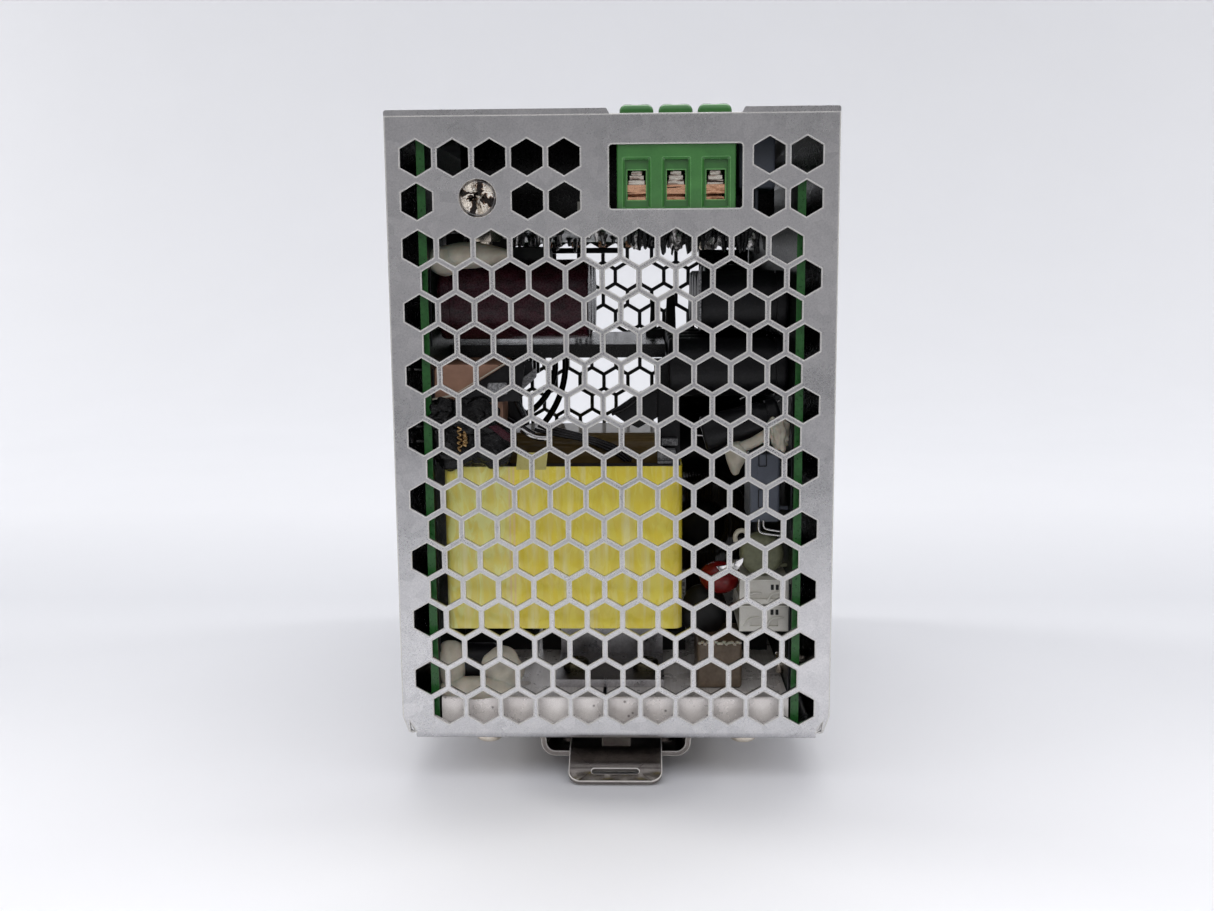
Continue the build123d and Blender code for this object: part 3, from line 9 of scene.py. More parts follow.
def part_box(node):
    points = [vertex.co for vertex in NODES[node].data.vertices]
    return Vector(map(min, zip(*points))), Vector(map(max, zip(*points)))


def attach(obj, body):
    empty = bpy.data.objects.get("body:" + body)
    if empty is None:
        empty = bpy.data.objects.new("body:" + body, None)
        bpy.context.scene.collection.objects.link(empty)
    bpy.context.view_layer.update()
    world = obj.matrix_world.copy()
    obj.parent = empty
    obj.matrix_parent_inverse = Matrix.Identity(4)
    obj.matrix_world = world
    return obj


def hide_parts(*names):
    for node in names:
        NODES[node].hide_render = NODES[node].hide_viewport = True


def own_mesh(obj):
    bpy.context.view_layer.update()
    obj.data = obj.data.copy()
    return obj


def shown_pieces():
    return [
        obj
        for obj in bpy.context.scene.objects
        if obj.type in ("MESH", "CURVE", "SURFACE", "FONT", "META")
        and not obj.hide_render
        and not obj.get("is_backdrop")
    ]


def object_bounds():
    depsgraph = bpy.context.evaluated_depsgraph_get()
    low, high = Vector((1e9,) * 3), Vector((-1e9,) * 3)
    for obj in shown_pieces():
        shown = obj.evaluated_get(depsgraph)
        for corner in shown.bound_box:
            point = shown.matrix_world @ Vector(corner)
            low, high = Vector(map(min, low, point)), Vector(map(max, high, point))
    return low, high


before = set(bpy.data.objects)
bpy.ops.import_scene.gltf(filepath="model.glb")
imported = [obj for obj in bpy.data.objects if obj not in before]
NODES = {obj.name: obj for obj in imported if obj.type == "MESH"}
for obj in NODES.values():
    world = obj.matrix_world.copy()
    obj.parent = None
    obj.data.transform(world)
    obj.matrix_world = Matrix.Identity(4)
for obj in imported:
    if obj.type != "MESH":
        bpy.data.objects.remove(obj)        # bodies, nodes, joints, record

MM = 0.001
CAD_BOUNDS = [list(corner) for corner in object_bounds()]


# ---------------------------------------------------------------- materials

class NodeWork:
    """Lays out the shader nodes of one material or world."""

    def __init__(self, owner):
        owner.use_nodes = True
        self.tree = owner.node_tree
        self.tree.nodes.clear()

    def feed(self, socket, value):
        """Puts a link, a number or a colour into an input."""
        if isinstance(value, bpy.types.NodeSocket):
            self.tree.links.new(value, socket)
        elif value is not None:
            if socket.type == "RGBA" and len(value) == 3:
                value = (*value, 1.0)
            socket.default_value = value

    def node(self, kind, settings=None, **inputs):
        made = self.tree.nodes.new("ShaderNode" + kind)
        for key, value in (settings or {}).items():
            setattr(made, key, value)
        for key, value in inputs.items():
            self.feed(made.inputs[key.replace("_", " ")], value)
        return made

    def maths(self, operation, a, b=None):
        made = self.node("Math", {"operation": operation})
        self.feed(made.inputs[0], a)
        self.feed(made.inputs[1], b)
        return made.outputs[0]

    def weighted(self, *parts):
        """Sum of (value, weight) pairs."""
        total = None
        for value, weight in parts:
            share = self.maths("MULTIPLY", value, weight)
            total = share if total is None else self.maths("ADD", total, share)
        return total

    def span(self, value, low, high, to_low=0.0, to_high=1.0):
        """Maps low..high onto to_low..to_high, clamped."""
        made = self.node("MapRange", Value=value)
        for index, number in enumerate((low, high, to_low, to_high), start=1):
            made.inputs[index].default_value = number
        return made.outputs[0]

    def ramp(self, factor, *stops):
        """Colour ramp of (place, grey or colour) stops."""
        made = self.node("ValToRGB", Fac=factor)
        line = made.color_ramp
        while len(line.elements) < len(stops):
            line.elements.new(1.0)
        for element, (place, colour) in zip(line.elements, stops):
            element.position = place
            shade = colour if isinstance(colour, tuple) else (colour,) * 3
            element.color = (*shade, 1.0)
        return made.outputs["Color"]

    def mix(self, factor, a, b):
        """Colour a, going over to b as the factor rises."""
        made = self.node("Mix", {"data_type": "RGBA"})
        self.feed(made.inputs[0], factor)
        self.feed(made.inputs[6], a)
        self.feed(made.inputs[7], b)
        return made.outputs[2]


class Look(NodeWork):
    """A Principled material whose pattern is laid out in row-frame millimetres."""

    # painted shade: points deeper than WALL inside the case walls are coloured near black
    WALL = 0.75              # depth of the outer skin that stays bright, mm
    REAR_LIP = 4 * MM        # height of the rear wall's folds

    def __init__(self, name):
        self.mat = bpy.data.materials.new(name)
        super().__init__(self.mat)
        self.bsdf = self.node("BsdfPrincipled")
        self.node("OutputMaterial", Surface=self.bsdf.outputs[0])
        place = self.node("TexCoord").outputs["Object"]
        self.mm = self.scaled(place, (1 / MM,) * 3)

    def scaled(self, place, factors):
        """A vector times x, y and z factors, or as it is without them."""
        if factors is None:
            return place
        made = self.node("VectorMath", {"operation": "MULTIPLY"})
        self.feed(made.inputs[0], place)
        self.feed(made.inputs[1], factors)
        return made.outputs[0]

    def axis(self, name):
        return self.node("SeparateXYZ", Vector=self.mm).outputs[name]

    def cloud(self, size, detail=3.0, rough=0.5, stretch=None, distortion=0.0):
        """Noise with patches about `size` millimetres across."""
        made = self.node("TexNoise", Vector=self.scaled(self.mm, stretch), Scale=1.0 / size,
                         Detail=detail, Roughness=rough, Distortion=distortion)
        return made.outputs[0]

    def cells(self, size, stretch=None, feature="F1", output="Distance"):
        """Cells about `size` millimetres across."""
        made = self.node("TexVoronoi", {"feature": feature},
                         Vector=self.scaled(self.mm, stretch), Scale=1.0 / size)
        return made.outputs[output]

    def painted_inside_shade(self):
        """1 on points inside the case walls, 0 on the outer skin: the mask for painted shade."""
        low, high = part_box("chassis")
        rear, top = low.z + self.REAR_LIP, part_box("cover")[1].z
        within = []
        for name, near, far in (("X", low.x, high.x), ("Y", low.y, high.y), ("Z", rear, top)):
            middle, half = (near + far) / 2 / MM, (far - near) / 2 / MM - self.WALL
            off = self.maths("ABSOLUTE", self.maths("SUBTRACT", self.axis(name), middle))
            within.append(self.maths("LESS_THAN", off, half))
        return self.maths("MULTIPLY", self.maths("MULTIPLY", within[0], within[1]), within[2])

    def bump(self, height, strength=0.3, depth=0.1):
        """Surface relief `depth` millimetres deep."""
        return self.node("Bump", Height=height, Strength=strength, Distance=depth * MM).outputs[0]

    def done(self, **inputs):
        for key, value in inputs.items():
            self.feed(self.bsdf.inputs[key.replace("_", " ")], value)
        return self.mat


def sheet_steel(name, light, dark, rough):
    """Zinc-coated sheet: fine mottled grain and cloudy sheen, with painted shade, near black, on its inner
    faces.
    """
    look = Look(name)
    grain = look.cloud(0.28, 4.0, 0.65)
    spangle = look.cells(2.4, output="Color")
    patch = look.node("SeparateColor", Color=spangle).outputs[0]
    smear = look.cloud(14.0, 3.0)
    tone = look.weighted((grain, 0.6), (patch, 0.12), (smear, 0.28))
    colour = look.ramp(tone, (0.3, dark), (0.7, light))
    # painted shade: every point inside the case walls is coloured near black
    colour = look.mix(look.painted_inside_shade(), colour, (0.045, 0.045, 0.05))
    gloss = look.span(look.maths("ADD", grain, smear), 0.6, 1.4, rough - 0.06, rough + 0.08)
    relief = look.bump(grain, 0.16, 0.05)
    return look.done(Base_Color=colour, Metallic=1.0, Roughness=gloss, Normal=relief)


def polished_metal(name, light, dark, rough, scratch=None, strength=0.08):
    """Plated or drawn metal with fine directional scratches and tarnish."""
    look = Look(name)
    lines = look.cloud(0.5, 5.0, 0.7, stretch=scratch)
    tarnish = look.cloud(3.5, 4.0, 0.6)
    colour = look.ramp(look.weighted((lines, 0.5), (tarnish, 0.5)), (0.34, dark), (0.62, light))
    gloss = look.span(tarnish, 0.3, 0.7, rough * 0.7, rough * 1.5)
    return look.done(Base_Color=colour, Metallic=1.0, Roughness=gloss,
                     Normal=look.bump(lines, strength, 0.04))


def stamped_metal(name, light, middle, dark):
    """Plated stamping with painted reflection: level bands of bright and near-black colour, and darker
    streaks.
    """
    look = Look(name)
    reflection_bands = look.cloud(1.1, 3.0, 0.6, stretch=(0.12, 0.12, 1.5))
    dark_streaks = look.cloud(0.8, 3.0, 0.6, stretch=(0.5, 0.5, 1.3))
    tone = look.weighted((reflection_bands, 0.75), (dark_streaks, 0.25))
    # painted reflection: the ramp lays bright and near-black level bands over the metal
    colour = look.ramp(tone, (0.40, dark), (0.43, middle), (0.47, light), (0.56, light), (0.62, middle))
    return look.done(Base_Color=colour, Metallic=0.8, Roughness=look.span(dark_streaks, 0.3, 0.7, 0.16, 0.34),
                     Normal=look.bump(tone, 0.3, 0.2))


def moulded_plastic(name, light, dark, rough, grain=0.35, strength=0.1, coat=0.0):
    """Injection-moulded plastic: slight flow shading and a fine texture."""
    look = Look(name)
    flow = look.cloud(5.0, 3.0, 0.5, distortion=0.6)
    fine = look.cloud(grain, 3.0, 0.6)
    colour = look.ramp(look.weighted((flow, 0.7), (fine, 0.3)), (0.3, dark), (0.7, light))
    gloss = look.span(fine, 0.3, 0.7, rough - 0.05, rough + 0.07)
    return look.done(Base_Color=colour, Roughness=gloss, Coat_Weight=coat,
                     Coat_Roughness=0.15, Normal=look.bump(fine, strength, 0.03))


def shrink_sleeve(name, light, dark, rough=0.22, wrinkle=0.25):
    """Heat-shrunk sleeve: glossy film with shallow ripples and dust."""
    look = Look(name)
    ripple = look.cloud(2.2, 4.0, 0.6, stretch=(1.0, 1.0, 1.6), distortion=0.8)
    dust = look.cloud(0.35, 5.0, 0.75)
    colour = look.mix(look.ramp(dust, (0.5, 0.0), (0.85, 0.05)),
                      look.ramp(ripple, (0.3, dark), (0.75, light)), (0.45, 0.43, 0.40))
    gloss = look.span(dust, 0.35, 0.8, rough, rough + 0.25)
    return look.done(Base_Color=colour, Roughness=gloss, Specular_IOR_Level=0.35,
                     Normal=look.bump(ripple, wrinkle, 0.35))


def circuit_board(name):
    """Green solder mask over a maze of copper tracks, with tinned via dots, and painted shade on the broad
    faces.
    """
    look = Look(name)
    size, stretch = 3.1, (1.0, 1.0, 1.7)
    blocks = look.cells(size, stretch, output="Color")
    track = look.node("SeparateColor", Color=blocks).outputs[1]
    plane = look.ramp(track, (0.42, 0.0), (0.46, 1.0))
    edge = look.cells(size, stretch, "DISTANCE_TO_EDGE")
    gap = look.ramp(edge, (0.02, 1.0), (0.06, 0.0))
    mask = look.mix(plane, (0.006, 0.040, 0.012), (0.016, 0.098, 0.026))
    mask = look.mix(gap, mask, (0.005, 0.026, 0.010))
    via = look.ramp(look.cells(4.7), (0.05, 1.0), (0.075, 0.0))
    weave = look.cloud(0.6, 2.0, 0.5)
    mask = look.mix(via, mask, (0.55, 0.53, 0.48))
    facing = look.node("SeparateXYZ", Vector=look.node("NewGeometry").outputs["Normal"])
    outer, sawn = [look.maths("GREATER_THAN", look.maths("ABSOLUTE", facing.outputs[axis]), 0.7)
                   for axis in ("X", "Y")]
    # painted shade: faces turned along X, the broad faces of the upright boards, are coloured near black
    broad_face_painted_shade = look.mix(outer, mask, (0.004, 0.010, 0.005))
    fibre = look.ramp(weave, (0.3, (0.014, 0.092, 0.018)), (0.7, (0.026, 0.145, 0.030)))
    return look.done(Base_Color=look.mix(sawn, broad_face_painted_shade, fibre),
                     Roughness=look.span(weave, 0.3, 0.7, 0.26, 0.42),
                     Normal=look.bump(look.weighted((plane, 1.0), (weave, 0.2)), 0.25, 0.06))


def transformer_tape(name):
    """Layers of clear yellow polyester film, greener where it is double, softly creased."""
    look = Look(name)
    low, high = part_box("transformer_tape")
    across = look.span(look.axis("X"), low.x / MM, high.x / MM)
    cloud = look.cloud(4.5, 4.0, 0.55, stretch=(1.6, 1.0, 0.5), distortion=1.4)
    streak = look.cloud(2.6, 3.0, 0.5, stretch=(1.5, 1.0, 0.14))
    base = look.ramp(across, (0.0, (0.82, 0.83, 0.28)), (0.26, (0.88, 0.86, 0.30)),
                     (0.30, (0.92, 0.78, 0.10)), (0.93, (0.92, 0.80, 0.11)),
                     (0.97, (0.74, 0.60, 0.05)))
    deep = look.mix(look.ramp(cloud, (0.40, 0.6), (0.60, 0.0)), base, (0.86, 0.66, 0.05))
    pale = look.mix(look.ramp(streak, (0.50, 0.0), (0.70, 0.5)), deep, (0.97, 0.94, 0.58))
    seam = look.maths("ABSOLUTE", look.maths("SUBTRACT", across, 0.285))
    line = look.ramp(seam, (0.003, 0.0), (0.006, 0.55), (0.010, 0.55), (0.015, 0.0))
    pinkish = look.mix(line, pale, (0.88, 0.60, 0.48))
    relief = look.bump(look.maths("ADD", cloud, streak), 0.35, 0.35)
    return look.done(Base_Color=pinkish, Roughness=look.span(cloud, 0.3, 0.7, 0.18, 0.34),
                     Coat_Weight=0.35, Coat_Roughness=0.12, Normal=relief)


def wound_wire(name, light, dark, pitch, direction, rough):
    """Rows of enamelled wire lying side by side, `pitch` millimetres apart, with painted shade between the
    turns.
    """
    look = Look(name)
    turns = look.node("TexWave", {"bands_direction": direction}, Vector=look.mm,
                      Scale=1.0 / (pitch * math.pi), Distortion=0.15, Detail=1.0).outputs["Fac"]
    stain = look.cloud(3.0, 4.0, 0.6)
    # painted shade and light: each turn runs from the dark colour in its groove to the light colour on its
    # crown
    colour = look.mix(stain, look.ramp(turns, (0.1, dark), (0.8, light)), dark)
    return look.done(Base_Color=colour, Roughness=rough, Metallic=0.35,
                     Coat_Weight=0.4, Normal=look.bump(turns, 0.8, 0.25))


def worn_screw(name):
    """Cross-head screw scarred by a driver: cream metal, brown stain, and painted shade, near black, in the
    cross recess.
    """
    look = Look(name)
    low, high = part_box("end_wall_screws")
    middle = (low + high) / 2 / MM
    apart = ((high.x - low.x) - (high.z - low.z)) / 2 / MM
    across = look.maths("ABSOLUTE", look.maths("SUBTRACT", look.axis("X"), middle.x))
    across = look.maths("SUBTRACT", across, apart)
    upward = look.maths("SUBTRACT", look.axis("Z"), middle.z)
    turn = math.radians(17.0)
    arms = [look.maths("ABSOLUTE", look.weighted((across, a), (upward, b)))
            for a, b in ((math.cos(turn), math.sin(turn)), (-math.sin(turn), math.cos(turn)))]
    scar = look.cloud(2.6, 3.0, 0.6, distortion=1.6)
    wander = look.maths("MULTIPLY", look.maths("SUBTRACT", scar, 0.5), 4.4)
    recess = look.maths("ADD", look.maths("MINIMUM", arms[0], arms[1]), wander)
    cream = (1.0, 0.96, 0.88)
    # painted shade: the cross recess is coloured near black
    colour = look.ramp(look.span(recess, 0.0, 1.6), (0.26, (0.012, 0.008, 0.006)), (0.34, (0.20, 0.10, 0.06)),
                       (0.40, (0.75, 0.62, 0.48)), (0.48, cream), (0.64, cream),
                       (0.72, (0.16, 0.08, 0.05)), (0.80, (0.98, 0.90, 0.78)))
    grime = look.cloud(0.5, 3.0, 0.6)
    return look.done(Base_Color=colour, Metallic=0.6, Roughness=look.span(grime, 0.3, 0.7, 0.12, 0.3),
                     Normal=look.bump(recess, 0.8, 0.5))


def extruded_bar(name):
    """Heatsink bar: drawn aluminium with pits and stains, dulled by compound."""
    look = Look(name)
    drawn = look.cloud(0.5, 5.0, 0.7, stretch=(2.4, 0.05, 2.4))
    pits = look.ramp(look.cells(2.3), (0.06, 0.0), (0.16, 1.0))
    stain = look.cloud(7.0, 4.0, 0.6)
    bright = look.ramp(look.weighted((drawn, 0.5), (stain, 0.5)),
                       (0.32, (0.55, 0.51, 0.50)), (0.66, (0.92, 0.89, 0.88)))
    colour = look.mix(pits, (0.22, 0.20, 0.20), bright)
    return look.done(Base_Color=colour, Metallic=0.35, Roughness=look.span(stain, 0.3, 0.7, 0.22, 0.36),
                     Normal=look.bump(look.maths("ADD", drawn, pits), 0.25, 0.1))


def cast_resin(name, light, dark, rough=0.3, lump=1.5):
    """Dipped or moulded resin, uneven in colour with small hollows."""
    look = Look(name)
    body = look.cloud(lump, 4.0, 0.6)
    speck = look.cells(0.7)
    colour = look.ramp(look.weighted((body, 0.75), (speck, 0.3)), (0.28, dark), (0.78, light))
    return look.done(Base_Color=colour, Roughness=look.span(speck, 0.2, 0.8, rough, rough + 0.15),
                     Normal=look.bump(body, 0.3, 0.25))


def clear_film(name, tint):
    """Thin smoky insulation film with handling marks."""
    look = Look(name)
    haze = look.cloud(9.0, 4.0, 0.6)
    fine = look.cloud(0.8, 4.0, 0.7)
    dark = tuple(part * 0.6 for part in tint)
    return look.done(Base_Color=look.ramp(haze, (0.3, dark), (0.7, tint)),
                     Roughness=look.span(fine, 0.3, 0.7, 0.18, 0.4), Normal=look.bump(haze, 0.15, 0.3))


def lamp_lens(name):
    """Green lamp: tinted clear body with a frosted inside."""
    look = Look(name)
    frost = look.cloud(0.7, 3.0, 0.6)
    return look.done(Base_Color=look.ramp(frost, (0.3, (0.03, 0.36, 0.08)), (0.7, (0.16, 0.70, 0.24))),
                     Roughness=look.span(frost, 0.3, 0.7, 0.08, 0.2), Transmission_Weight=0.35, IOR=1.5)


def made_looks(recipes):
    """Makes one material per name from (function, values...) entries."""
    return {name: make(name, *values) for name, (make, *values) in recipes.items()}


LOOKS = made_looks({
    "galvanised_steel": (sheet_steel, (0.80, 0.79, 0.80), (0.53, 0.53, 0.545), 0.29),
    "nickel_plated_steel": (polished_metal, (0.34, 0.31, 0.285), (0.20, 0.18, 0.165), 0.09,
                            (0.5, 2.0, 2.0), 0.03),
    "plated_screw": (polished_metal, (0.86, 0.80, 0.70), (0.66, 0.57, 0.46), 0.17),
    "label_film": (moulded_plastic, (0.34, 0.38, 0.44), (0.26, 0.29, 0.35), 0.38, 0.5),
    "insulation": (clear_film, (0.012, 0.011, 0.012)),
    "terminal_green": (moulded_plastic, (0.058, 0.225, 0.050), (0.036, 0.158, 0.034), 0.2, 0.35, 0.1, 0.5),
    "contact_copper": (stamped_metal, (0.98, 0.56, 0.36), (0.60, 0.28, 0.15), (0.05, 0.025, 0.018)),
    "clamp_steel": (stamped_metal, (0.96, 0.90, 0.80), (0.44, 0.30, 0.25), (0.05, 0.035, 0.03)),
    "board_green": (circuit_board,),
    "ferrite": (cast_resin, (0.055, 0.052, 0.055), (0.025, 0.024, 0.026), 0.45),
    "yellow_tape": (transformer_tape,),
    "winding": (wound_wire, (0.26, 0.18, 0.050), (0.11, 0.068, 0.022), 0.25, "Z", 0.35),
    "tan_tape": (moulded_plastic, (0.47, 0.27, 0.19), (0.33, 0.18, 0.12), 0.4, 0.8, 0.3),
    "black_anodised": (moulded_plastic, (0.010, 0.009, 0.010), (0.004, 0.004, 0.004), 0.24),
    "bar_aluminium": (extruded_bar,),
    "black_epoxy": (cast_resin, (0.010, 0.010, 0.011), (0.004, 0.004, 0.004), 0.42),
    "burgundy_sleeve": (shrink_sleeve, (0.066, 0.010, 0.020), (0.016, 0.003, 0.006), 0.2, 0.45),
    "black_sleeve": (shrink_sleeve, (0.006, 0.006, 0.008), (0.002, 0.002, 0.003), 0.3),
    "brown_film": (cast_resin, (0.16, 0.115, 0.075), (0.085, 0.060, 0.038), 0.3),
    "blue_grey_box": (moulded_plastic, (0.115, 0.13, 0.165), (0.075, 0.085, 0.11), 0.34),
    "white_nylon": (moulded_plastic, (0.78, 0.77, 0.72), (0.62, 0.60, 0.55), 0.35),
    "olive_resin": (cast_resin, (0.20, 0.21, 0.13), (0.12, 0.125, 0.075), 0.36),
    "wire_insulation": (moulded_plastic, (0.006, 0.004, 0.005), (0.002, 0.002, 0.002), 0.2),
    # painted shade: the choke's copper winding is coloured near black
    "choke_wire": (wound_wire, (0.030, 0.016, 0.009), (0.008, 0.005, 0.003), 0.7, "X", 0.4),
    "adjuster_blue": (moulded_plastic, (0.03, 0.11, 0.40), (0.02, 0.07, 0.28), 0.32),
    "adjuster_white": (moulded_plastic, (0.80, 0.79, 0.75), (0.66, 0.65, 0.60), 0.35),
    "led_green": (lamp_lens,),
})

NODE_LOOKS = {
    "end_wall_screws": worn_screw("worn_screw"),
    "heatsink_link_plate": polished_metal("link_steel", (0.62, 0.61, 0.62), (0.34, 0.33, 0.34), 0.32),
    "link_plate_screws": polished_metal("dull_screw", (0.24, 0.21, 0.13), (0.08, 0.07, 0.04), 0.3),
    "terminal_board_brackets": polished_metal("bracket_steel", (0.030, 0.030, 0.032),
                                              (0.012, 0.012, 0.013), 0.4),
}

for name, node in NODES.items():
    slot_name = node.data.materials[0].name
    node.material_slots[0].material = NODE_LOOKS.get(name, LOOKS[slot_name.split(".")[0]])


# ---------------------------------------------------------------- edges of the sheet parts

def bare_edge_with_highlight(name, light, dark):
    """Burnished edge of punched sheet: pale, finely torn and scattering, and paler still as a painted
    highlight.
    """
    look = Look(name)
    torn = look.cloud(0.22, 4.0, 0.7)
    colour = look.ramp(torn, (0.3, dark), (0.65, light))
    return look.done(Base_Color=colour, Metallic=0.35, Roughness=look.span(torn, 0.3, 0.7, 0.38, 0.6),
                     Normal=look.bump(torn, 0.2, 0.04))


def soften(name, width, edge, angle=35.0, gap=0.002):
    """Rolls the edges of a CAD node that are sharper than `angle` over by `width` millimetres."""
    part = NODES[name]
    weld = part.modifiers.new("join_faces", "WELD")
    weld.merge_threshold = gap * MM
    bevel = part.modifiers.new("rolled_edges", "BEVEL")
    bevel.width = width * MM
    bevel.segments = 2
    bevel.limit_method = "ANGLE"
    bevel.angle_limit = math.radians(angle)
    bevel.harden_normals = True
    bevel.use_clamp_overlap = False
    part.data.materials.append(edge)
    bevel.material = 1


# bare sheared edges, coloured paler than the sheet: partly the bare metal, partly a painted highlight
ZINC_EDGE_AND_HIGHLIGHT = bare_edge_with_highlight("zinc_edge_and_highlight", (0.90, 0.885, 0.85), (0.66, 0.65, 0.63))
NICKEL_EDGE_AND_HIGHLIGHT = bare_edge_with_highlight("nickel_edge_and_highlight", (0.93, 0.90, 0.85), (0.78, 0.74, 0.69))
# painted highlight: the green housing's rims and the black plate's edges are coloured lighter than their
# parts
HOUSING_EDGE_HIGHLIGHT = moulded_plastic("housing_edge_highlight", (0.22, 0.55, 0.19), (0.15, 0.42, 0.13), 0.25, 0.35, 0.1, 0.3)
BLACK_EDGE_HIGHLIGHT = moulded_plastic("anodised_edge_highlight", (0.10, 0.10, 0.105), (0.05, 0.05, 0.05), 0.3)
soften("rail_bracket", 0.2, NICKEL_EDGE_AND_HIGHLIGHT)
soften("rail_latch", 0.2, NICKEL_EDGE_AND_HIGHLIGHT)
soften("cross_heatsink", 0.15, BLACK_EDGE_HIGHLIGHT)


# ---------------------------------------------------------------- finishes of the added pieces

def silicone(name):
    """Cured neutral silicone: cream, slightly translucent, with a soft skin."""
    look = Look(name)
    body = look.cloud(2.6, 3.0, 0.5)
    fine = look.cloud(0.5, 3.0, 0.6)
    return look.done(Base_Color=look.ramp(body, (0.3, (0.40, 0.37, 0.30)), (0.7, (0.60, 0.56, 0.47))),
                     Roughness=look.span(fine, 0.3, 0.7, 0.3, 0.5), Subsurface_Weight=0.25,
                     Subsurface_Scale=0.002, Normal=look.bump(body, 0.3, 0.4))


def speckled_board(name, light, dark):
    """Grey sleeve board with a coarse speckle."""
    look = Look(name)
    speck = look.cloud(0.45, 3.0, 0.8)
    patch = look.cloud(2.0, 3.0, 0.6)
    colour = look.mix(patch, look.ramp(speck, (0.42, dark), (0.58, light)), dark)
    return look.done(Base_Color=colour, Roughness=look.span(patch, 0.3, 0.7, 0.35, 0.6),
                     Normal=look.bump(speck, 0.35, 0.12))


def flux_solder(name):
    """Hand-soldered joint: bright tin with dull flux-stained patches."""
    look = Look(name)
    crust = look.cloud(0.9, 4.0, 0.65)
    colour = look.ramp(crust, (0.36, (0.10, 0.09, 0.08)), (0.46, (0.62, 0.60, 0.58)),
                       (0.7, (0.92, 0.91, 0.90)))
    return look.done(Base_Color=colour, Metallic=0.9, Roughness=look.span(crust, 0.3, 0.7, 0.5, 0.16),
                     Normal=look.bump(crust, 0.5, 0.2))


EXTRA = made_looks({
    "silicone": (silicone,),
    "solder": (flux_solder,),
    "tinned_wire": (polished_metal, (0.95, 0.94, 0.93), (0.66, 0.65, 0.64), 0.16),
    "red_resin": (cast_resin, (0.22, 0.008, 0.008), (0.10, 0.004, 0.005), 0.12, 3.0),
    "speckled": (speckled_board, (0.52, 0.53, 0.54), (0.10, 0.10, 0.11)),
    "ceramic": (cast_resin, (0.62, 0.58, 0.48), (0.42, 0.39, 0.31), 0.3, 1.2),
    "crinkled_bag": (shrink_sleeve, (0.006, 0.006, 0.007), (0.002, 0.002, 0.002), 0.12, 0.9),
    "dark_steel": (sheet_steel, (0.16, 0.16, 0.17), (0.08, 0.08, 0.09), 0.4),
    "pale_tape": (moulded_plastic, (0.66, 0.60, 0.22), (0.52, 0.46, 0.12), 0.3, 0.8, 0.3, 0.3),
    "gold_varnish": (polished_metal, (0.62, 0.42, 0.20), (0.16, 0.09, 0.04), 0.2),
})


# ---------------------------------------------------------------- added pieces

def drift(place, seed):
    """Smooth offset that differs from place to place, within 1 along each axis."""
    place = place * 0.6 + Vector((seed, 0, 0))
    return Vector([noise.noise(place + Vector((shift, -shift, shift))) for shift in (0.0, 17.3, 41.9)])


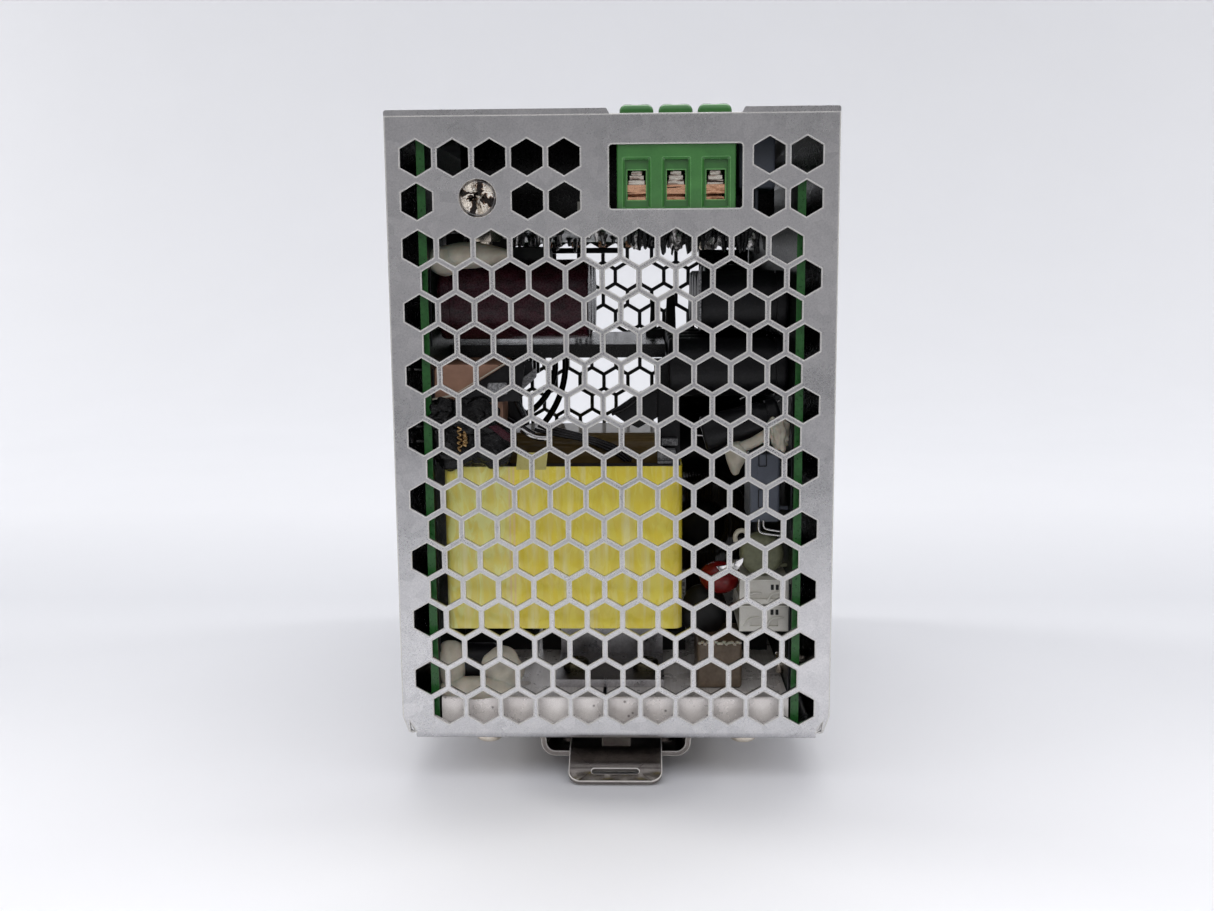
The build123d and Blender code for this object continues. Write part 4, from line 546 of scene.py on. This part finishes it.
class Detail:
    """One added piece, gathered in a bmesh in row-frame millimetres."""

    def __init__(self):
        self.bm = bmesh.new()

    def round_off(self, edges, width):
        """Rounds edges, each taken once and in order."""
        bmesh.ops.bevel(self.bm, geom=list(dict.fromkeys(edges)), offset=width, segments=2,
                        profile=0.6, affect="EDGES", clamp_overlap=True)

    def block(self, low, high, edge=0.25):
        """Block between two corners, with rounded edges."""
        verts = bmesh.ops.create_cube(self.bm, size=1.0)["verts"]
        for vert in verts:
            vert.co = Vector([a + (b - a) * (c + 0.5) for a, b, c in zip(low, high, vert.co)])
        self.round_off((line for vert in verts for line in vert.link_edges), edge)

    def ring(self, centre, normal, radius, sides, across=None):
        """Loop of vertices round a point, square to `normal`."""
        normal = Vector(normal).normalized()
        across = across or normal.orthogonal().normalized()
        other = normal.cross(across)
        loop = []
        for step in range(sides):
            turn = math.tau * step / sides
            offset = across * math.cos(turn) + other * math.sin(turn)
            loop.append(self.bm.verts.new(Vector(centre) + offset * radius))
        return loop

    def join(self, loops, closed=False):
        """Walls between vertex loops that follow each other; `closed` joins the last to the first."""
        for first, second in zip(loops, loops[1:] + (loops[:1] if closed else [])):
            for step in range(len(first)):
                after = (step + 1) % len(first)
                self.bm.faces.new((first[step], first[after], second[after], second[step]))

    def skin(self, loops):
        """Closes a row of vertex loops into one capped skin."""
        self.join(loops)
        self.bm.faces.new(list(reversed(loops[0])))
        self.bm.faces.new(loops[-1])

    def wire(self, points, radius, sides=10, steps=8):
        """Round wire along a smooth path through the points."""
        points = [Vector(point) for point in points]
        ends = [points[0] * 2 - points[1]] + points + [points[-1] * 2 - points[-2]]
        path = []
        for a, b, c, d in zip(ends, ends[1:], ends[2:], ends[3:]):
            for step in range(steps):
                t = step / steps
                path.append(0.5 * (2 * b + (c - a) * t + (2 * a - 5 * b + 4 * c - d) * t * t
                                   + (3 * b - a - 3 * c + d) * t ** 3))
        path.append(points[-1])
        loops = []
        across = (path[1] - path[0]).orthogonal().normalized()
        for index, place in enumerate(path):
            along = (path[min(index + 1, len(path) - 1)] - path[max(index - 1, 0)]).normalized()
            across = (across - along * across.dot(along)).normalized()
            loops.append(self.ring(place, along, radius, sides, across))
        self.skin(loops)

    def turned(self, base, axis, profile, sides=18, wobble=0.0, seed=0.0):
        """Turned shape: `profile` is (distance along axis, radius) pairs."""
        base, axis = Vector(base), Vector(axis).normalized()
        loops = []
        for along, radius in profile:
            loop = self.ring(base + axis * along, axis, radius, sides)
            for vert in loop:
                vert.co += drift(vert.co, seed) * wobble
            loops.append(loop)
        self.skin(loops)

    def lump(self, centre, size, seed, rough=0.18, pitch=1.4, level=4):
        """Soft lump: a sphere scaled to half sizes `size` and pushed about by noise."""
        verts = bmesh.ops.create_icosphere(self.bm, subdivisions=level, radius=1.0)["verts"]
        for vert in verts:
            swell = 1.0 + rough * noise.noise(vert.co * pitch + Vector((seed, seed * 0.7, 0.3)))
            vert.co = Vector([c + s * v * swell for c, s, v in zip(centre, size, vert.co)])

    def slab(self, outline, near, far, edge=0.15):
        """Sheet cut to an (x, z) outline between two depths."""
        front = [self.bm.verts.new((x, near, z)) for x, z in outline]
        back = [self.bm.verts.new((x, far, z)) for x, z in outline]
        faces = [self.bm.faces.new(front), self.bm.faces.new(list(reversed(back)))]
        for step in range(len(outline)):
            after = (step + 1) % len(outline)
            faces.append(self.bm.faces.new((front[step], back[step], back[after], front[after])))
        self.round_off((line for face in faces for line in face.edges), edge)

    def made(self, name, finish, body="case", crease=38.0):
        """Turns the gathered mesh into a piece that rides on `body`."""
        bmesh.ops.recalc_face_normals(self.bm, faces=self.bm.faces)
        for vert in self.bm.verts:
            vert.co *= MM
        mesh = bpy.data.meshes.new(name)
        self.bm.to_mesh(mesh)
        self.bm.free()
        mesh.materials.append(finish)
        for face in mesh.polygons:
            face.use_smooth = True
        mesh.set_sharp_from_angle(angle=math.radians(crease))
        thing = bpy.data.objects.new(name, mesh)
        bpy.context.scene.collection.objects.link(thing)
        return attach(thing, body)


def outward_edges(bm, middle):
    """Edges between a wall and a level face turned away from the plane y = middle.

    Gives {vertex: [(next vertex, away, wall normal)]}, where away is the level face's side, 1 or -1.
    """
    steps = {}
    for edge in bm.edges:
        level = [face for face in edge.link_faces if abs(face.normal.y) > 0.98]
        wall = [face for face in edge.link_faces if abs(face.normal.y) < 0.9]
        if len(level) != 1 or len(wall) != 1 or not edge.is_convex:
            continue
        away = 1.0 if level[0].normal.y > 0 else -1.0
        if (level[0].calc_center_median().y - middle) * away < 0:
            continue
        for here, there in (edge.verts, reversed(edge.verts)):
            steps.setdefault(here, []).append((there, away, wall[0].normal.copy()))
    return steps


def rim_loops(node):
    """Runs of (place, outward, wall normal) along the outward Y edges of a node, closed or open."""
    bm = bmesh.new()
    bm.from_mesh(NODES[node].data)
    bmesh.ops.remove_doubles(bm, verts=bm.verts, dist=0.002 * MM)
    bm.normal_update()
    low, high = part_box(node)
    steps = outward_edges(bm, (low.y + high.y) / 2)
    runs = []
    used = set()
    ends = [vert for vert in steps if len(steps[vert]) != 2]
    for start in ends + list(steps):
        for first in steps[start]:
            if (start, first[0]) in used:
                continue
            run, here, step = [], start, first
            while True:
                used.update(((here, step[0]), (step[0], here)))
                run.append((here, step))
                before, here = here, step[0]
                if here is start or len(steps[here]) != 2:
                    break
                step = next(each for each in steps[here] if each[0] is not before)
            closed = here is start
            walls = [step[2] for _, step in run]
            places = [vert.co / MM for vert, _ in run]
            if not closed:
                places.append(here.co / MM)
                walls.append(walls[-1])
            blends = []
            for wall, back in zip(walls, [walls[-1] if closed else walls[0]] + walls[:-1]):
                blend = (wall + back).normalized()
                blends.append(blend / max(0.4, blend.dot(wall)))
            outward = Vector((0, first[1], 0))
            runs.append((closed, [(place, outward, blend) for place, blend in zip(places, blends)]))
    bm.free()
    return runs


def punched_rims(node, name, finish, radius, sides=8, sunk=0.62):
    """Rolled lip along every outward edge of a punched wall or a moulded mouth."""
    lip = Detail()
    turns = [math.tau * (step + 0.5) / sides for step in range(sides)]
    for closed, run in rim_loops(node):
        loops = []
        for place, away, wall in run:
            centre = place - (away + wall) * radius * sunk
            loops.append([lip.bm.verts.new(centre + (away * math.sin(turn) + wall * math.cos(turn)) * radius)
                          for turn in turns])
        lip.join(loops, closed)
        if not closed:
            lip.bm.faces.new(loops[0])
            lip.bm.faces.new(loops[-1])
    lip.made(name, finish, crease=60)


def solder_side():
    """Joints and clipped leads under the terminal board."""
    rng = random.Random(11)
    joints, roots = Detail(), Detail()
    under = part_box("terminal_board")[0].z / MM
    places = []
    while len(places) < 70:
        spot = (rng.uniform(-31, 31), rng.uniform(-57, 20))
        if all((spot[0] - x) ** 2 + (spot[1] - y) ** 2 > 7.5 for x, y in places):
            places.append(spot)
    for x, y in places:
        drop = rng.uniform(1.4, 3.4)
        joints.turned((x, y, under), (rng.uniform(-0.1, 0.1), 0, -1),
                      ((0, 1.3), (0.35, 1.0), (0.9, 0.55), (drop, 0.42), (drop + 0.2, 0.25)),
                      12, 0.3, rng.random() * 9)
    for x in (4.7, 12.2, 19.7, 27.0):
        joints.lump((x, -51.0, under - 1.6), (1.7, 1.5, 2.4), x, 0.5, 2.0, 3)
        for step in range(9):
            shift = (step - 4) * 0.85
            length = rng.uniform(2.2, 5.2)
            roots.turned((x + shift, -52.4 + rng.uniform(-0.8, 1.2), under),
                         (rng.uniform(-0.15, 0.15), 0, -1),
                         ((0, 0.75), (length * 0.5, 0.5), (length, 0.3), (length + 0.3, 0.12)),
                         9, 0.5, step + x)
    joints.made("terminal_board_solder", EXTRA["solder"])
    roots.made("terminal_board_flux", EXTRA["crinkled_bag"])


def board_leads():
    """Clipped leads on the outer face of the power board, and edge strips beside both upright boards."""
    rng = random.Random(5)
    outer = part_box("power_board")[0].x / MM
    left = Detail()
    for z in (79.4, 68.0, 65.0, 93.0, 46.0, 33.0):
        left.turned((outer, -57.0 + rng.uniform(0, 2), z), (-1, 0, 0),
                    ((-0.3, 1.0), (0.3, 0.8), (0.9, 0.45), (2.2, 0.4), (2.4, 0.2)), 12, 0.1, z)
    left.made("power_board_leads", EXTRA["tinned_wire"])
    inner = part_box("power_board")[1].x / MM
    strip = Detail()
    strip.block((inner, -57.8, 60.5), (inner + 0.35, -57.2, 79.6), 0.1)
    strip.block((inner, -57.8, 84.0), (inner + 0.25, -57.3, 99.0), 0.1)
    strip.block((inner, -57.8, 22.0), (inner + 0.2, -57.3, 60.0), 0.08)
    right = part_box("secondary_board")[0].x / MM
    strip.block((right - 0.35, -57.6, 12.0), (right, -57.0, 36.0), 0.1)
    strip.block((right - 0.3, -57.6, 47.0), (right, -57.0, 76.0), 0.1)
    strip.made("board_edge_strips", EXTRA["dark_steel"])


def silicone_beads():
    """Silicone that holds the tall parts against vibration."""
    beads = Detail()
    beads.lump((-28.6, -53.5, 101.6), (8.2, 3.5, 2.6), 1.0, 0.10, 1.2)
    beads.lump((-33.2, -54.0, 100.6), (3.4, 3.2, 2.9), 6.0, 0.12, 1.4)
    beads.lump((-33.6, -56.2, 19.0), (3.0, 2.2, 5.2), 2.0, 0.12, 1.3)
    beads.lump((-23.4, -55.6, 17.6), (4.4, 2.2, 5.0), 3.0, 0.15, 1.5)
    beads.lump((-28.6, -57.0, 14.0), (7.4, 2.0, 2.7), 8.0, 0.12, 1.2)
    beads.lump((33.0, -55.0, 66.0), (1.9, 1.6, 3.0), 4.0, 0.5, 2.0)
    beads.lump((31.6, -55.0, 67.4), (1.3, 1.4, 1.7), 5.0, 0.4, 2.0)
    beads.wire([(22.3, -53.5, 62.2), (25.2, -54.0, 63.2), (28.0, -54.2, 64.4), (31.2, -54.2, 66.4)], 1.1, 14)
    drop = ((0, 0.6), (0.6, 1.9), (2.0, 2.25), (3.6, 1.9), (5.2, 1.35), (6.2, 0.8), (6.7, 0.2))
    beads.turned((24.6, -53.8, 64.3), (-0.08, 0, -1), drop, 20, 0.3, 2.0)
    beads.made("silicone_beads", EXTRA["silicone"], crease=70)


def sleeved_parts():
    """Sleeved parts and loose wires above the transformer."""
    tape = Detail()
    tape.slab(((-31.4, 74.6), (-31.9, 74.2), (-21.3, 80.4), (-21.1, 80.9)), -58.5, -58.2, 0.06)
    tape.slab(((-36.4, 73.7), (-31.6, 74.6), (-31.6, 74.2), (-36.4, 73.4)), -58.5, -58.2, 0.05)
    tape.made("sleeve_edge", EXTRA["ceramic"])
    strap = Detail()
    strap.slab(((-31.2, 74.3), (-21.2, 80.3), (-17.4, 80.4), (-18.4, 73.2), (-31.0, 72.8)), -58.2, -57.0, 0.3)
    strap.slab(((-20.4, 80.2), (-17.0, 80.2), (-16.6, 76.6), (-20.6, 73.5)), -47.0, -45.5, 0.2)
    strap.slab(((-24.2, 73.8), (-20.4, 73.9), (-17.6, 67.2), (-19.0, 66.6), (-24.3, 67.6)), -47.0, -44.0, 0.6)
    strap.slab(((-0.9, 69.6), (5.4, 73.9), (8.8, 73.9), (8.8, 68.4), (4.8, 66.2), (1.8, 67.6)),
               -46.0, -44.8, 0.3)
    strap.slab(((8.0, 80.5), (13.5, 80.5), (13.5, 60.8), (9.6, 60.8), (8.9, 66.0)), -44.6, -43.4, 0.3)
    strap.made("black_straps", LOOKS["black_sleeve"])
    bag = Detail()
    bag.lump((-34.2, -57.8, 70.4), (3.4, 2.2, 3.3), 12.0, 0.35, 2.6, 5)
    bag.lump((-27.8, -57.8, 69.4), (5.4, 2.2, 4.2), 13.0, 0.35, 2.4, 5)
    bag.lump((-31.5, -57.4, 64.4), (5.4, 2.0, 4.8), 14.0, 0.25, 2.2, 5)
    bag.lump((-24.6, -57.4, 64.4), (5.2, 2.0, 4.6), 15.0, 0.25, 2.0, 5)
    bag.made("crinkled_sleeve", EXTRA["crinkled_bag"], crease=80)
    grey = Detail()
    grey.slab(((-24.6, 76.9), (-20.8, 76.9), (-20.8, 74.6), (-24.9, 74.6)), -59.0, -58.3, 0.3)
    grey.slab(((-20.6, 75.6), (-16.1, 78.9), (-16.0, 77.0), (-19.8, 73.6)), -47.8, -47.1, 0.2)
    grey.made("speckled_strips", EXTRA["speckled"])
    gold = Detail()
    for x, low, high in ((-30.3, 63.6, 68.4), (-29.2, 64.6, 67.4)):
        gold.wire([(x + 0.35 * (-1) ** step, -60.0 + 0.2 * (step % 3), low + (high - low) * step / 9)
                   for step in range(10)], 0.26, 8, 5)
    gold.made("varnished_coil", EXTRA["gold_varnish"])
    red = Detail()
    red.slab(((-24.6, 68.4), (-22.8, 68.8), (-19.6, 66.4), (-19.6, 64.9), (-21.6, 66.0)), -60.2, -59.6, 0.2)
    red.made("red_sleeve", LOOKS["burgundy_sleeve"])
    braid = Detail()
    braid.wire([(-18.6, -53.6, 67.0), (-17.2, -54.0, 66.1), (-15.4, -54.0, 65.4), (-13.0, -53.6, 65.2)], 0.62)
    braid.wire([(-17.8, -53.4, 66.3), (-16.4, -53.8, 65.6), (-13.8, -53.8, 64.9)], 0.42)
    braid.made("tinned_braid", EXTRA["tinned_wire"])
    arcs = Detail()
    for lift, reach in ((0.0, 0.0), (0.8, 0.7), (1.6, 1.2)):
        arcs.wire([(-16.2 + reach, -50.6, 66.6 + lift), (-12.4, -51.4, 65.7 + lift * 0.8),
                   (-6.2, -51.8, 64.5 + lift * 0.6), (-0.8 + reach, -51.2, 62.2 + lift * 0.5),
                   (2.2 + reach, -50.6, 60.2)], 0.36, 12)
    arcs.wire([(-24.2, -47.4, 69.4), (-21.4, -47.8, 68.4), (-18.6, -47.6, 66.6), (-16.6, -47.2, 65.2)], 0.4)
    arcs.wire([(-20.9, -47.5, 73.6), (-19.6, -47.7, 70.4), (-17.9, -47.5, 67.2)], 0.4)
    arcs.wire([(-0.6, -46.6, 69.2), (2.6, -46.9, 70.7), (6.0, -46.6, 73.6)], 0.35)
    arcs.made("black_wire_arcs", LOOKS["wire_insulation"])


def transformer_extras():
    """Tape flap, lead-out sleeves and stack on the transformer's upper face."""
    low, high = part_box("transformer_tape")
    front, top = low.y / MM, high.z / MM
    flap = Detail()
    flap.slab(((-19.6, top - 0.6), (-19.2, top + 2.9), (-13.2, top + 2.8), (-13.6, top - 0.6)),
              front - 0.1, front + 0.15, 0.05)
    flap.made("tape_flap", EXTRA["pale_tape"])
    stack = Detail()
    stack.block((8.7, -51.6, 60.3), (12.4, -48.4, 62.4), 0.2)
    stack.block((8.7, -52.0, 59.7), (12.7, -51.4, 60.2), 0.1)
    stack.block((9.6, -46.4, 62.6), (13.0, -44.4, 64.0), 0.25)
    stack.made("lead_out_blocks", EXTRA["speckled"])


def rear_silhouettes():
    """Wires, tabs, blocks and a bar that stand dark against the far perforation, and near-black sheets that
    stand in for shade.
    """
    bars = Detail()
    bars.block((-19.8, 50.0, 103.3), (-0.6, 51.6, 104.8), 0.2)
    bars.block((-24.0, 12.0, 80.2), (-11.0, 13.0, 80.9), 0.15)
    bars.made("far_bar", EXTRA["dark_steel"])
    black = Detail()
    for step, lean in enumerate((0.0, 0.35, -0.2, 0.3)):
        x = -10.6 + step * 1.2
        black.wire([(x, 10, 101.2), (x + lean, 10, 95.0), (x - lean * 0.6, 10, 89.0), (x, 10, 80.6)], 0.34)
    black.block((-22.0, -46.0, 97.0), (-13.6, -28.0, 103.4), 0.8)
    # painted shade: a near-black block placed where there is only shade
    black.block((-35.0, -40.0, 102.5), (-21.5, -34.0, 106.3), 0.4)
    for x, wide, low, high in ((8.4, 1.0, 80.5, 91.0), (12.6, 1.5, 80.5, 92.6), (17.6, 1.0, 80.5, 91.4)):
        black.slab(((x - wide, low), (x + wide, low), (x + wide * 0.75, high), (x - wide * 0.55, high)),
                   4.2, 5.4, 0.25)
    black.block((6.6, -2.0, 80.4), (19.0, 0.0, 84.6), 0.4)
    black.made("rear_tabs", LOOKS["black_epoxy"])
    strip = Detail()
    strip.block((16.9, -52.6, 86.6), (17.4, -51.9, 98.6), 0.12)
    strip.made("can_marker", EXTRA["speckled"])
    # painted shade: two near-black sheets that stand in for shade inside the case
    shade_screen = Detail()
    shade_screen.slab(((13.2, 12.9), (35.2, 12.9), (35.2, 104.0), (21.6, 104.0), (21.6, 82.0), (13.2, 82.0)),
                49.0, 49.8, 0.2)
    shade_screen.slab(((-33.0, 108.4), (34.0, 108.4), (34.0, 126.6), (-33.0, 126.6)), -29.6, -28.8, 0.2)
    shade_screen.made("shade_screens", LOOKS["insulation"])


def right_hand_parts():
    """Leads, bead and coil on the output side."""
    leads = Detail()
    leads.wire([(29.1, -54.2, 48.6), (29.1, -54.2, 46.6), (29.7, -54.2, 45.8), (31.4, -54.2, 45.5),
                (34.6, -54.0, 45.1)], 0.22)
    leads.wire([(30.0, -54.2, 48.4), (30.1, -54.2, 47.2), (30.7, -54.2, 46.6), (32.4, -54.2, 46.3),
                (34.6, -54.0, 46.0)], 0.22)
    leads.wire([(16.6, -50.2, 65.3), (18.2, -50.2, 65.2), (19.8, -50.0, 65.1)], 0.2)
    leads.wire([(25.8, -46.0, 72.2), (26.8, -46.4, 72.7), (27.6, -46.2, 72.8)], 0.35)
    leads.wire([(32.4, -47.0, 71.0), (33.6, -47.3, 71.9), (34.8, -47.0, 71.9)], 0.2)
    leads.wire([(33.2, -47.0, 67.8), (34.0, -47.2, 69.2), (34.8, -47.0, 69.9)], 0.2)
    leads.made("bright_leads", EXTRA["tinned_wire"])
    bead = Detail()
    loops = []
    for step in range(28):
        turn = math.tau * step / 28
        centre = (25.9 + 1.35 * math.cos(turn), -51.0, 44.2 + 1.5 * math.sin(turn))
        loops.append(bead.ring(centre, (-math.sin(turn), 0, math.cos(turn)), 0.5, 10, Vector((0, 1, 0))))
    bead.join(loops, closed=True)
    bead.made("ceramic_ring", EXTRA["ceramic"])
    red = Detail()
    red.lump((21.6, -49.0, 35.4), (4.3, 3.0, 3.4), 21.0, 0.08, 1.0)
    red.made("red_varistor", EXTRA["red_resin"])
    clip = Detail()
    clip.slab(((20.6, 38.6), (23.6, 39.0), (26.2, 40.6), (26.0, 39.4), (24.6, 37.4), (21.8, 37.2)),
              -53.2, -52.7, 0.12)
    clip.made("varistor_clip", EXTRA["tinned_wire"])
    plug = Detail()
    low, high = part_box("output_choke")
    hub = ((low.x + high.x) / 2 / MM, high.y / MM - 0.4, high.z / MM - 12.5)
    plug.turned(hub, (0, -1, 0), ((0, 5.7), (10.4, 5.7), (11.6, 5.0), (12.2, 3.6), (12.4, 1.0)), 36)
    plug.lump((18.6, -44.0, 27.0), (5.0, 3.0, 6.0), 31.0, 0.1, 1.0)
    plug.made("choke_potting", LOOKS["black_epoxy"])
    film = Detail()
    low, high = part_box("film_capacitor")
    for step in range(16):
        x = low.x / MM + 0.5 + step * 0.55
        film.lump((x, low.y / MM + 0.2, high.z / MM - 0.25 + 0.25 * math.sin(step * 2.3)),
                  (0.42, 0.4, 0.3), step, 0.5, 2.0, 2)
    film.made("film_capacitor_crust", EXTRA["silicone"])


def box_mouldings():
    """Moulded outlines on the blue-grey box and the connectors, and their pins."""
    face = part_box("box_capacitor")[0].y / MM
    lines = Detail()
    for x, z, wide, tall in ((29.0, 59.4, 1.5, 3.4), (29.0, 51.0, 1.2, 3.6)):
        for a, b in (((x, z), (x, z + tall)), ((x + wide, z), (x + wide, z + tall)),
                     ((x, z), (x + wide, z)), ((x, z + tall), (x + wide, z + tall))):
            lines.wire([(a[0], face - 0.02, a[1]), (b[0], face - 0.02, b[1])], 0.09, 6, 2)
    lines.made("box_capacitor_outline", LOOKS["black_epoxy"])
    low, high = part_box("signal_connectors")
    x0, face, z0 = low / MM
    x1, z1 = high.x / MM, high.z / MM
    ribs = Detail()
    for z in (z0 + 5.2, z1 - 0.4):
        ribs.block((x0, face - 0.35, z), (x1, face + 0.2, z + 0.35), 0.1)
    for z in (z0 + 1.2, z0 + 6.4):
        for x in (x0 + 1.0, x0 + 5.6):
            ribs.wire([(x, face - 0.05, z), (x + 0.9, face - 0.25, z + 1.5), (x + 2.2, face - 0.3, z + 1.9),
                       (x + 3.4, face - 0.05, z + 1.7)], 0.22, 8)
    ribs.made("connector_ribs", LOOKS["white_nylon"])
    pins = Detail()
    for z in (z0 + 3.6, z0 + 8.8):
        for x in (x0 + 6.3, x0 + 7.3):
            pins.block((x, face - 0.2, z), (x + 0.6, face + 0.4, z + 1.1), 0.1)
    pins.made("connector_slots", LOOKS["black_epoxy"])


def latch_coil():
    """The latch spring as a coil, shown in place of the CAD spring, which is hidden."""
    low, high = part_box("latch_spring")
    middle = (low + high) / 2 / MM
    wire, turns, facets = 0.22, 9, 16
    radius = (high.x - low.x) / 2 / MM - wire
    length = (high.y - low.y) / MM - 0.5
    path = []
    for step in range(turns * facets + 1):
        turn = math.tau * step / facets
        path.append((middle.x + radius * math.cos(turn),
                     low.y / MM + 0.25 + length * step / (turns * facets),
                     middle.z + radius * math.sin(turn)))
    coil = Detail()
    coil.wire(path, wire, 8, 1)
    made = coil.made("latch_spring_coil", LOOKS["plated_screw"])
    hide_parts("latch_spring")
    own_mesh(made)


punched_rims("chassis", "chassis_rims", ZINC_EDGE_AND_HIGHLIGHT, 0.17)
punched_rims("input_terminal_housing", "input_housing_rims", HOUSING_EDGE_HIGHLIGHT, 0.12)
punched_rims("output_terminal_housing", "output_housing_rims", HOUSING_EDGE_HIGHLIGHT, 0.12)
latch_coil()
solder_side()
board_leads()
silicone_beads()
sleeved_parts()
transformer_extras()
rear_silhouettes()
right_hand_parts()
box_mouldings()


# ---------------------------------------------------------------- stage, light and camera

def studio():
    """A pale floor that sweeps up into a backdrop, with painted shade: dark before the camera, greyer behind
    the object.
    """
    look = Look("studio_paper")
    mottle = look.cloud(60.0, 3.0)
    shade = look.ramp(mottle, (0.3, (0.86, 0.865, 0.885)), (0.7, (0.875, 0.88, 0.90)))
    # painted shadow: the floor before the camera is coloured dark grey
    shade = look.mix(look.span(look.axis("Y"), -150.0, -420.0), shade, (0.21, 0.21, 0.215))
    # painted shade: behind the object the paper is greyed by depth, standing in for uneven light
    reach = look.span(look.axis("Y"), -90.0, 420.0)
    dull = look.ramp(reach, (0.0, 0.0), (0.15, 0.30), (0.33, 0.55), (0.62, 0.42), (1.0, 0.49))
    shade = look.mix(dull, shade, (0.405, 0.42, 0.455))
    paper = look.done(Base_Color=shade, Roughness=0.75, Specular_IOR_Level=0.15)
    floor = CAD_BOUNDS[0][2] - 0.00005
    half, front, back, bend, top, facets = 2.6, -2.6, 0.95, 0.45, 2.2, 16
    profile = [(front, floor), (front / 2, floor), (0.0, floor), (back - bend, floor)]
    for step in range(1, facets + 1):
        turn = math.radians(90 * step / facets)
        profile.append((back - bend + bend * math.sin(turn), floor + bend * (1 - math.cos(turn))))
    profile.append((back, floor + top))
    verts = [(x, y, z) for y, z in profile for x in (-half, half)]
    faces = [(2 * i, 2 * i + 1, 2 * i + 3, 2 * i + 2) for i in range(len(profile) - 1)]
    mesh = bpy.data.meshes.new("studio_sweep")
    mesh.from_pydata(verts, [], faces)
    mesh.materials.append(paper)
    for face in mesh.polygons:
        face.use_smooth = True
    sweep = bpy.data.objects.new("studio_sweep", mesh)
    bpy.context.scene.collection.objects.link(sweep)
    sweep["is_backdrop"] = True
    return sweep


def room_light():
    """Bright room at the sides and overhead, dim behind the camera."""
    world = bpy.data.worlds.new("room")
    bpy.context.scene.world = world
    sky = NodeWork(world)
    heading = sky.node("SeparateXYZ", Vector=sky.node("TexCoord").outputs["Generated"])
    height = sky.span(heading.outputs["Z"], -1.0, 1.0)
    depth = sky.span(heading.outputs["Y"], -1.0, 1.0)
    room = sky.ramp(height, (0.48, (0.66, 0.61, 0.60)), (0.55, (0.74, 0.69, 0.685)),
                    (0.95, (0.80, 0.81, 0.85)))
    front = sky.ramp(height, (0.47, (0.60, 0.59, 0.60)), (0.515, (0.62, 0.61, 0.62)),
                     (0.57, (0.12, 0.12, 0.125)), (0.68, (0.07, 0.07, 0.075)),
                     (0.85, (0.55, 0.55, 0.58)), (1.0, (0.85, 0.85, 0.88)))
    towards_camera = sky.ramp(depth, (0.0, 1.0), (0.22, 0.9), (0.42, 0.0))
    light = sky.node("Background", Color=sky.mix(towards_camera, room, front), Strength=1.18)
    sky.node("OutputWorld", Surface=light.outputs[0])


def softbox(name, place, aim, size, power, tint):
    """A rectangular lamp at `place` that faces `aim`."""
    light = bpy.data.lights.new(name, "AREA")
    light.shape = "RECTANGLE"
    light.size, light.size_y = size
    light.energy = power
    light.color = tint
    lamp = bpy.data.objects.new(name, light)
    lamp.location = place
    lamp.rotation_euler = (Vector(aim) - Vector(place)).to_track_quat("-Z", "Y").to_euler()
    bpy.context.scene.collection.objects.link(lamp)
    return lamp


def only_on(name, place, aim, size, power, things):
    """A soft light that reaches only the given pieces and leaves no highlight."""
    lamp = softbox(name, place, aim, size, power, (1.0, 0.98, 0.95))
    lamp.visible_glossy = False
    group = bpy.data.collections.new(name + "_things")
    for thing in things:
        group.objects.link(thing)
    lamp.light_linking.receiver_collection = group


def inside_fill():
    """Weak light from the camera side that only reaches the parts behind the perforation."""
    skip = ("chassis", "cover", "rail_bracket", "rail_latch", "front_label", "chassis_rims",
            "bulk_capacitors")
    bars = ("heatsink_left", "heatsink_right", "heatsink_link_plate")
    inner = [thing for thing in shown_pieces() if thing.name not in skip]
    only_on("inside_fill", (0.0, -0.75, 0.42), (0.0, -0.06, 0.06), (0.7, 0.35), 1.6, inner)
    only_on("bar_fill", (0.0, -0.75, 0.30), (0.0, -0.06, 0.01), (0.7, 0.25), 2.0,
            [thing for thing in inner if thing.name in bars])


def floor_fill(sweep):
    """Low light from both sides that opens the shadow beside the clip."""
    for name, x, power in (("floor_fill_left", -1.5, 12.5), ("floor_fill_right", 1.5, 9.5)):
        only_on(name, (x, 0.46, 0.50), (0.0, -0.06, 0.0), (0.4, 0.25), power, [sweep])


def camera():
    """The camera stands low before the input end, tilted slightly down and left."""
    place = Vector((5.37, -302.2, 98.47)) * MM
    turns = ((1.58, "Z"), (90 - 8.42, "X"), (-0.43, "Z"))      # heading, tilt, roll in degrees
    data = bpy.data.cameras.new("camera")
    data.sensor_width = 36.0
    data.lens = 37.03
    data.clip_start = 0.01
    eye = bpy.data.objects.new("camera", data)
    matrix = Matrix.Translation(place)
    for angle, axis in turns:
        matrix = matrix @ Matrix.Rotation(math.radians(angle), 4, axis)
    eye.matrix_world = matrix
    bpy.context.scene.collection.objects.link(eye)
    bpy.context.scene.camera = eye


paper_sweep = studio()
room_light()
softbox("overhead", (0.05, 0.42, 1.05), (0.0, 0.0, 0.0), (1.0, 0.6), 4.4, (1.0, 0.99, 0.97))
softbox("backdrop_wash", (0.0, 0.25, 1.3), (0.0, 0.95, 0.70), (1.6, 0.5), 1.7, (0.93, 0.96, 1.0))
floor_fill(paper_sweep)
inside_fill()
camera()
bpy.context.scene.view_settings.view_transform = "Standard"
